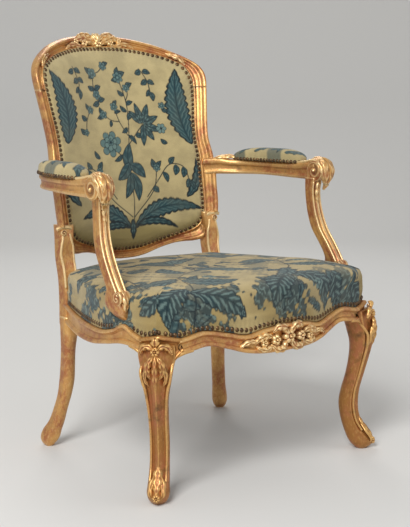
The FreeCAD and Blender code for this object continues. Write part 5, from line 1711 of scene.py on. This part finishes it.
count = round(SEAT.length / NAIL_PITCH)
around = even_places(SEAT, count)
p, n = frame_at(seat_cover_points, np.full(count, 1 - 6.0 / SEAT_STEPS[-1]), around)
n = n * np.sign(np.sum(n * (p - [0, SEAT_MIDDLE, 380]), axis=1, keepdims=True))
bare = ((np.abs(p[:, 0]) > KNEE_HALF - 40) & (p[:, 1] > SUPPORT_Y - 31) & (p[:, 1] < SUPPORT_Y + 22)) \
    | ((p[:, 1] > POST_LINE - 25) & (np.abs(p[:, 0]) > POST_INNER - 6) & (p[:, 1] < POST_LINE + 26))
nail_heads("seat_nail_heads", p[~bare] + n[~bare] * 0.2, n[~bare], ["seat_nails"])

count = round(BACK.length / NAIL_PITCH)
around = even_places(BACK, count)
p, n = frame_at(back_cover_points, np.full(count, 1 - 4.5 / BACK_REACH), around)
n = n * np.sign(-n[:, 1:2])
nail_heads("back_nail_heads", p + n * 0.2, n, ["back_front_nails"])
e2, i2, _ = BACK.at(around)
xz = e2[:, :2] - i2 * 3.6
rear_places = np.stack([xz[:, 0], back_y(xz[:, 0], xz[:, 1]) + RING_DEPTH + 2.9, xz[:, 1]], 1)
nail_heads("back_rear_nail_heads", rear_places, -n, ["back_rear_nails"])

pad_length = np.linspace(0, 1, 2001)
p, _ = pad_points(np.full(2001, 0.90), pad_length)
far = np.r_[0, np.cumsum(np.linalg.norm(np.diff(p, axis=0), axis=1))]
around = np.interp((np.arange(PAD_NAILS) + 0.5) / PAD_NAILS * far[-1], far, pad_length)
p, n = frame_at(pad_points, np.full(PAD_NAILS, 0.93), around)
centre = arm_place(np.full(PAD_NAILS, 0.53), np.zeros(PAD_NAILS))
n = n * np.sign(np.sum(n[:, :2] * (p[:, :2] - centre), axis=1, keepdims=True))
n[:, 2] = 0.15
for side, sign in SIDES:
    nail_heads("arm_pad_nail_heads_" + side, p * [sign, 1, 1], unit(n) * [sign, 1, 1],
               ["arm_pad_nails_" + side], 4.4, 2.8)

# %% [markdown]
# ## Back cloth, and a dust cloth that is black as painted shade
# The outside of the back has its own plain cloth, nailed over the frame, and a dust cloth under
# the seat is black as painted shade under the seat. Both are flat sheets of thin stuff that are pulled
# into small scallops between their nails, so they are made as thin closed sheets.

# %% Plain cloth materials
def plain_cloth(name, warp, weft, pitch, rough=0.9, relief=0.4):
    """Plain weave: two sine waves at right angles give warp and weft their own colour and height."""
    material, tree, skin = new_material(name)
    place = node(tree, "ShaderNodeAttribute", attribute_name="cloth_place").outputs["Vector"]
    xyz = node(tree, "ShaderNodeSeparateXYZ", {0: place})
    wob = math(tree, "MULTIPLY", noise(tree, place, 60.0, 2.0), 0.8)
    a = math(tree, "SINE", math(tree, "MULTIPLY_ADD", xyz.outputs[0], 6.2832 / pitch, wob))
    b = math(tree, "SINE", math(tree, "MULTIPLY_ADD", xyz.outputs[1], 6.2832 / pitch, wob))
    over = math(tree, "MULTIPLY_ADD", math(tree, "MULTIPLY", a, b), 0.5, 0.5)
    base = mix(tree, over, colour(*warp), colour(*weft))
    base = mix(tree, math(tree, "MULTIPLY", ramp(tree, noise(tree, place, 9.0, 4.0, 0.6), 0.4, 0.7), 0.35),
               base,
               colour(*(int(c * 0.78) for c in warp)))
    tree.links.new(base, skin.inputs["Base Color"])
    skin.inputs["Roughness"].default_value = rough
    skin.inputs["Specular IOR Level"].default_value = 0.15
    add_bump(tree, skin, over, relief, 0.0005)
    return material


REAR_CLOTH = plain_cloth("plain cloth of the back", (150, 138, 104), (124, 118, 92), 0.0016)
# Painted shade: the dust cloth is nearly black to stand for the shade under the seat.
DARK_CLOTH = plain_cloth("black dust cloth as painted shade", (44, 42, 40), (30, 29, 28), 0.0012)


def sheet_points(outline, grow, middle, ring, around):
    """Flat sheet: rings scaled about the middle, with scallops pulled out towards each nail."""
    edge, inward, far = outline.at(around)
    edge = edge[..., :2] - inward * grow
    nails = round(outline.length / NAIL_PITCH)
    phase = far / outline.length * nails
    pull = np.exp(-(1 - ring) * 22) * (0.5 + 0.5 * np.cos(2 * np.pi * (phase - 0.5)))
    core = middle + (edge - middle) * ring[..., None]
    return core, pull


SHEET_FINE = 96
ring, around = square_rings(SHEET_FINE)
core, pull = sheet_points(BACK, LEDGE, BACK_CENTRE, ring, around)
ease = 1.2 * np.sin(core[..., 0] * 0.02) * np.sin(core[..., 1] * 0.017) * (1 - ring ** 4)
y = back_y(core[..., 0], core[..., 1]) + RING_DEPTH + 2.6 - 0.5 * pull + ease * 0.5
rear_top = np.stack([core[..., 0], y, core[..., 1]], -1)
edge = square_edge(SHEET_FINE)
rim_points = rear_top.reshape(-1, 3)[edge]
rear_under = []
for share in (0.998, 0.6, 0.1):
    xz = BACK_CENTRE + (rim_points[:, [0, 2]] - BACK_CENTRE) * share
    rear_under.append(np.stack([xz[:, 0], back_y(xz[:, 0], xz[:, 1]) + RING_DEPTH + 0.5, xz[:, 1]], 1))
rear = cover_piece("back_cloth_rear", rear_top, np.stack(rear_under), core)
finish_piece(rear, REAR_CLOTH, "rear_cloth", "back_cover_rear")


def flat_area(core):
    """Area of a square grid of plane points: half the cross product of each cell's diagonals."""
    a = core[1:, 1:] - core[:-1, :-1]
    b = core[1:, :-1] - core[:-1, 1:]
    return float(np.abs(a[..., 0] * b[..., 1] - a[..., 1] * b[..., 0]).sum() / 2)


def declare_sheet(core, spare=1.0):
    flat_area(core) * MM * MM * spare


declare_sheet(core, 1.03)

DUST_LEVEL = LIP - 24
core, pull = sheet_points(SEAT, -36.5, np.array([0, SEAT_MIDDLE]), ring, around)
z = DUST_LEVEL - 5.0 * (1 - ring ** 2) + 0.6 * pull
z = z + 0.8 * np.sin(core[..., 0] * 0.03) * np.sin(core[..., 1] * 0.026) * (1 - ring ** 3)
dust_top = np.stack([core[..., 0], core[..., 1], z], -1)
rim_points = dust_top.reshape(-1, 3)[edge]
dust_under = []
for share in (0.999, 0.6, 0.1):
    p = rim_points.copy()
    p[:, :2] = [0, SEAT_MIDDLE] + (p[:, :2] - [0, SEAT_MIDDLE]) * share
    p[:, 2] = DUST_LEVEL + 1.0 - 5.0 * (1 - share ** 2)
    dust_under.append(p)
dust = cover_piece("seat_dust_cloth_painted_shade", dust_top, np.stack(dust_under), core)
finish_piece(dust, DARK_CLOTH, "dark_cloth", "seat_dust_cover")
declare_sheet(core, 1.02)

# %% [markdown]
# ## Materials of the parts inside
# The corner blocks and pegs are plain beech, and the webbing and hessian are jute. They keep their
# CAD shapes, which are right as they are, and get finishes of their own.

# %% Inner materials
PLAIN_WOOD, tree, skin = new_material("plain beech")
at = node(tree, "ShaderNodeTexCoord").outputs["Object"]
grain = noise(tree, node(tree, "ShaderNodeMapping", {"Vector": at, "Scale": (1, 0.1, 1)}).outputs[0], 120.0,
              5.0)
fleck = noise(tree, at, 900.0, 1.0)
base = mix(tree, ramp(tree, grain, 0.3, 0.7), colour(176, 128, 84), colour(138, 94, 58))
base = mix(tree, math(tree, "MULTIPLY", ramp(tree, fleck, 0.6, 0.75), 0.4), base, colour(104, 68, 42))
tree.links.new(base, skin.inputs["Base Color"])
tree.links.new(math(tree, "MULTIPLY_ADD", grain, 0.2, 0.5), skin.inputs["Roughness"])
add_bump(tree, skin, grain, 0.3, 0.0005)

JUTE, tree, skin = new_material("jute webbing")
at = node(tree, "ShaderNodeTexCoord").outputs["Object"]
xyz = node(tree, "ShaderNodeSeparateXYZ", {0: at})
a = math(tree, "SINE", math(tree, "MULTIPLY", xyz.outputs[0], 2400.0))
b = math(tree, "SINE", math(tree, "MULTIPLY", math(tree, "ADD", xyz.outputs[1], xyz.outputs[2]), 2400.0))
over = math(tree, "MULTIPLY_ADD", math(tree, "MULTIPLY", a, b), 0.5, 0.5)
base = mix(tree, over, colour(164, 132, 86), colour(128, 98, 60))
base = mix(tree, math(tree, "MULTIPLY", noise(tree, at, 300.0, 3.0), 0.4), base, colour(96, 72, 44))
tree.links.new(base, skin.inputs["Base Color"])
skin.inputs["Roughness"].default_value = 0.95
add_bump(tree, skin, over, 0.5, 0.0006)

for name, material in (("corner_blocks", PLAIN_WOOD), ("joint_pegs", PLAIN_WOOD), ("seat_webbing", JUTE),
                       ("seat_hessian", JUTE),
                       ("back_webbing", JUTE), ("back_hessian", JUTE)):
    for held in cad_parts[name].material_slots:
        held.material = material
    print(name, "has", material.name)

# %% [markdown]
# ## Stage and light
# A plain pale floor that turns up into a backdrop, a large soft key from the left front, and weak
# fill, so that colours render about as they are written.

# %% Stage
t = np.linspace(0, 1, 24)
bend_angle = t * np.pi / 2
profile = np.concatenate([[[-4.0, 0.0]], np.stack([3.2 + 1.6 * np.sin(bend_angle),
                                                   1.6 * (1 - np.cos(bend_angle))], 1), [[4.8, 6.0]]])
facing = -back[:2] / np.linalg.norm(back[:2])
across = np.array([-facing[1], facing[0]])
wide = np.linspace(-5.5, 5.5, 2)
stage_points = np.stack([np.stack([profile[:, 0] * facing[0] + w * across[0], profile[:, 0] * facing[1]
                                   + w * across[1],
                                   profile[:, 1]], -1) for w in wide], 1)
stage_mesh = bpy.data.meshes.new("floor_and_backdrop")
stage_mesh.from_pydata(stage_points.reshape(-1, 3).tolist(), [],
                       grid_faces(len(profile), 2, False, 0).tolist())
stage_mesh.polygons.foreach_set("use_smooth", np.ones(len(stage_mesh.polygons), bool))
floor = bpy.data.objects.new("floor_and_backdrop", stage_mesh)
bpy.context.scene.collection.objects.link(floor)
paper, tree, skin = new_material("pale paper")
skin.inputs["Base Color"].default_value = colour(214, 213, 210)
skin.inputs["Roughness"].default_value = 0.85
skin.inputs["Specular IOR Level"].default_value = 0.2
stage_mesh.materials.append(paper)

# %% Lights
world = bpy.data.worlds.new("studio")
world.use_nodes = True
world.node_tree.nodes["Background"].inputs[0].default_value = (1, 1, 1, 1)
world.node_tree.nodes["Background"].inputs[1].default_value = 0.45
bpy.context.scene.world = world
for name, spot_at, size, power in (("key", (-2.9, -1.9, 3.2), 1.7, 165),
                                   ("fill", (2.4, -2.8, 1.5), 2.2, 14), ("rim", (1.6, 2.4, 2.6), 1.4, 26)):
    light_data = bpy.data.lights.new(name, "AREA")
    light_data.size = size
    light_data.energy = power
    light = bpy.data.objects.new(name, light_data)
    pose = np.eye(4)
    axis = unit(np.array(spot_at) - [0, 0, 0.45])
    side_axis = unit(np.cross([0, 0, 1], axis))
    pose[:3, 0], pose[:3, 1], pose[:3, 2], pose[:3, 3] = side_axis, np.cross(axis, side_axis), axis, spot_at
    light.matrix_world = Matrix(pose.tolist())
    bpy.context.scene.collection.objects.link(light)
bpy.context.scene.view_settings.view_transform = "Standard"
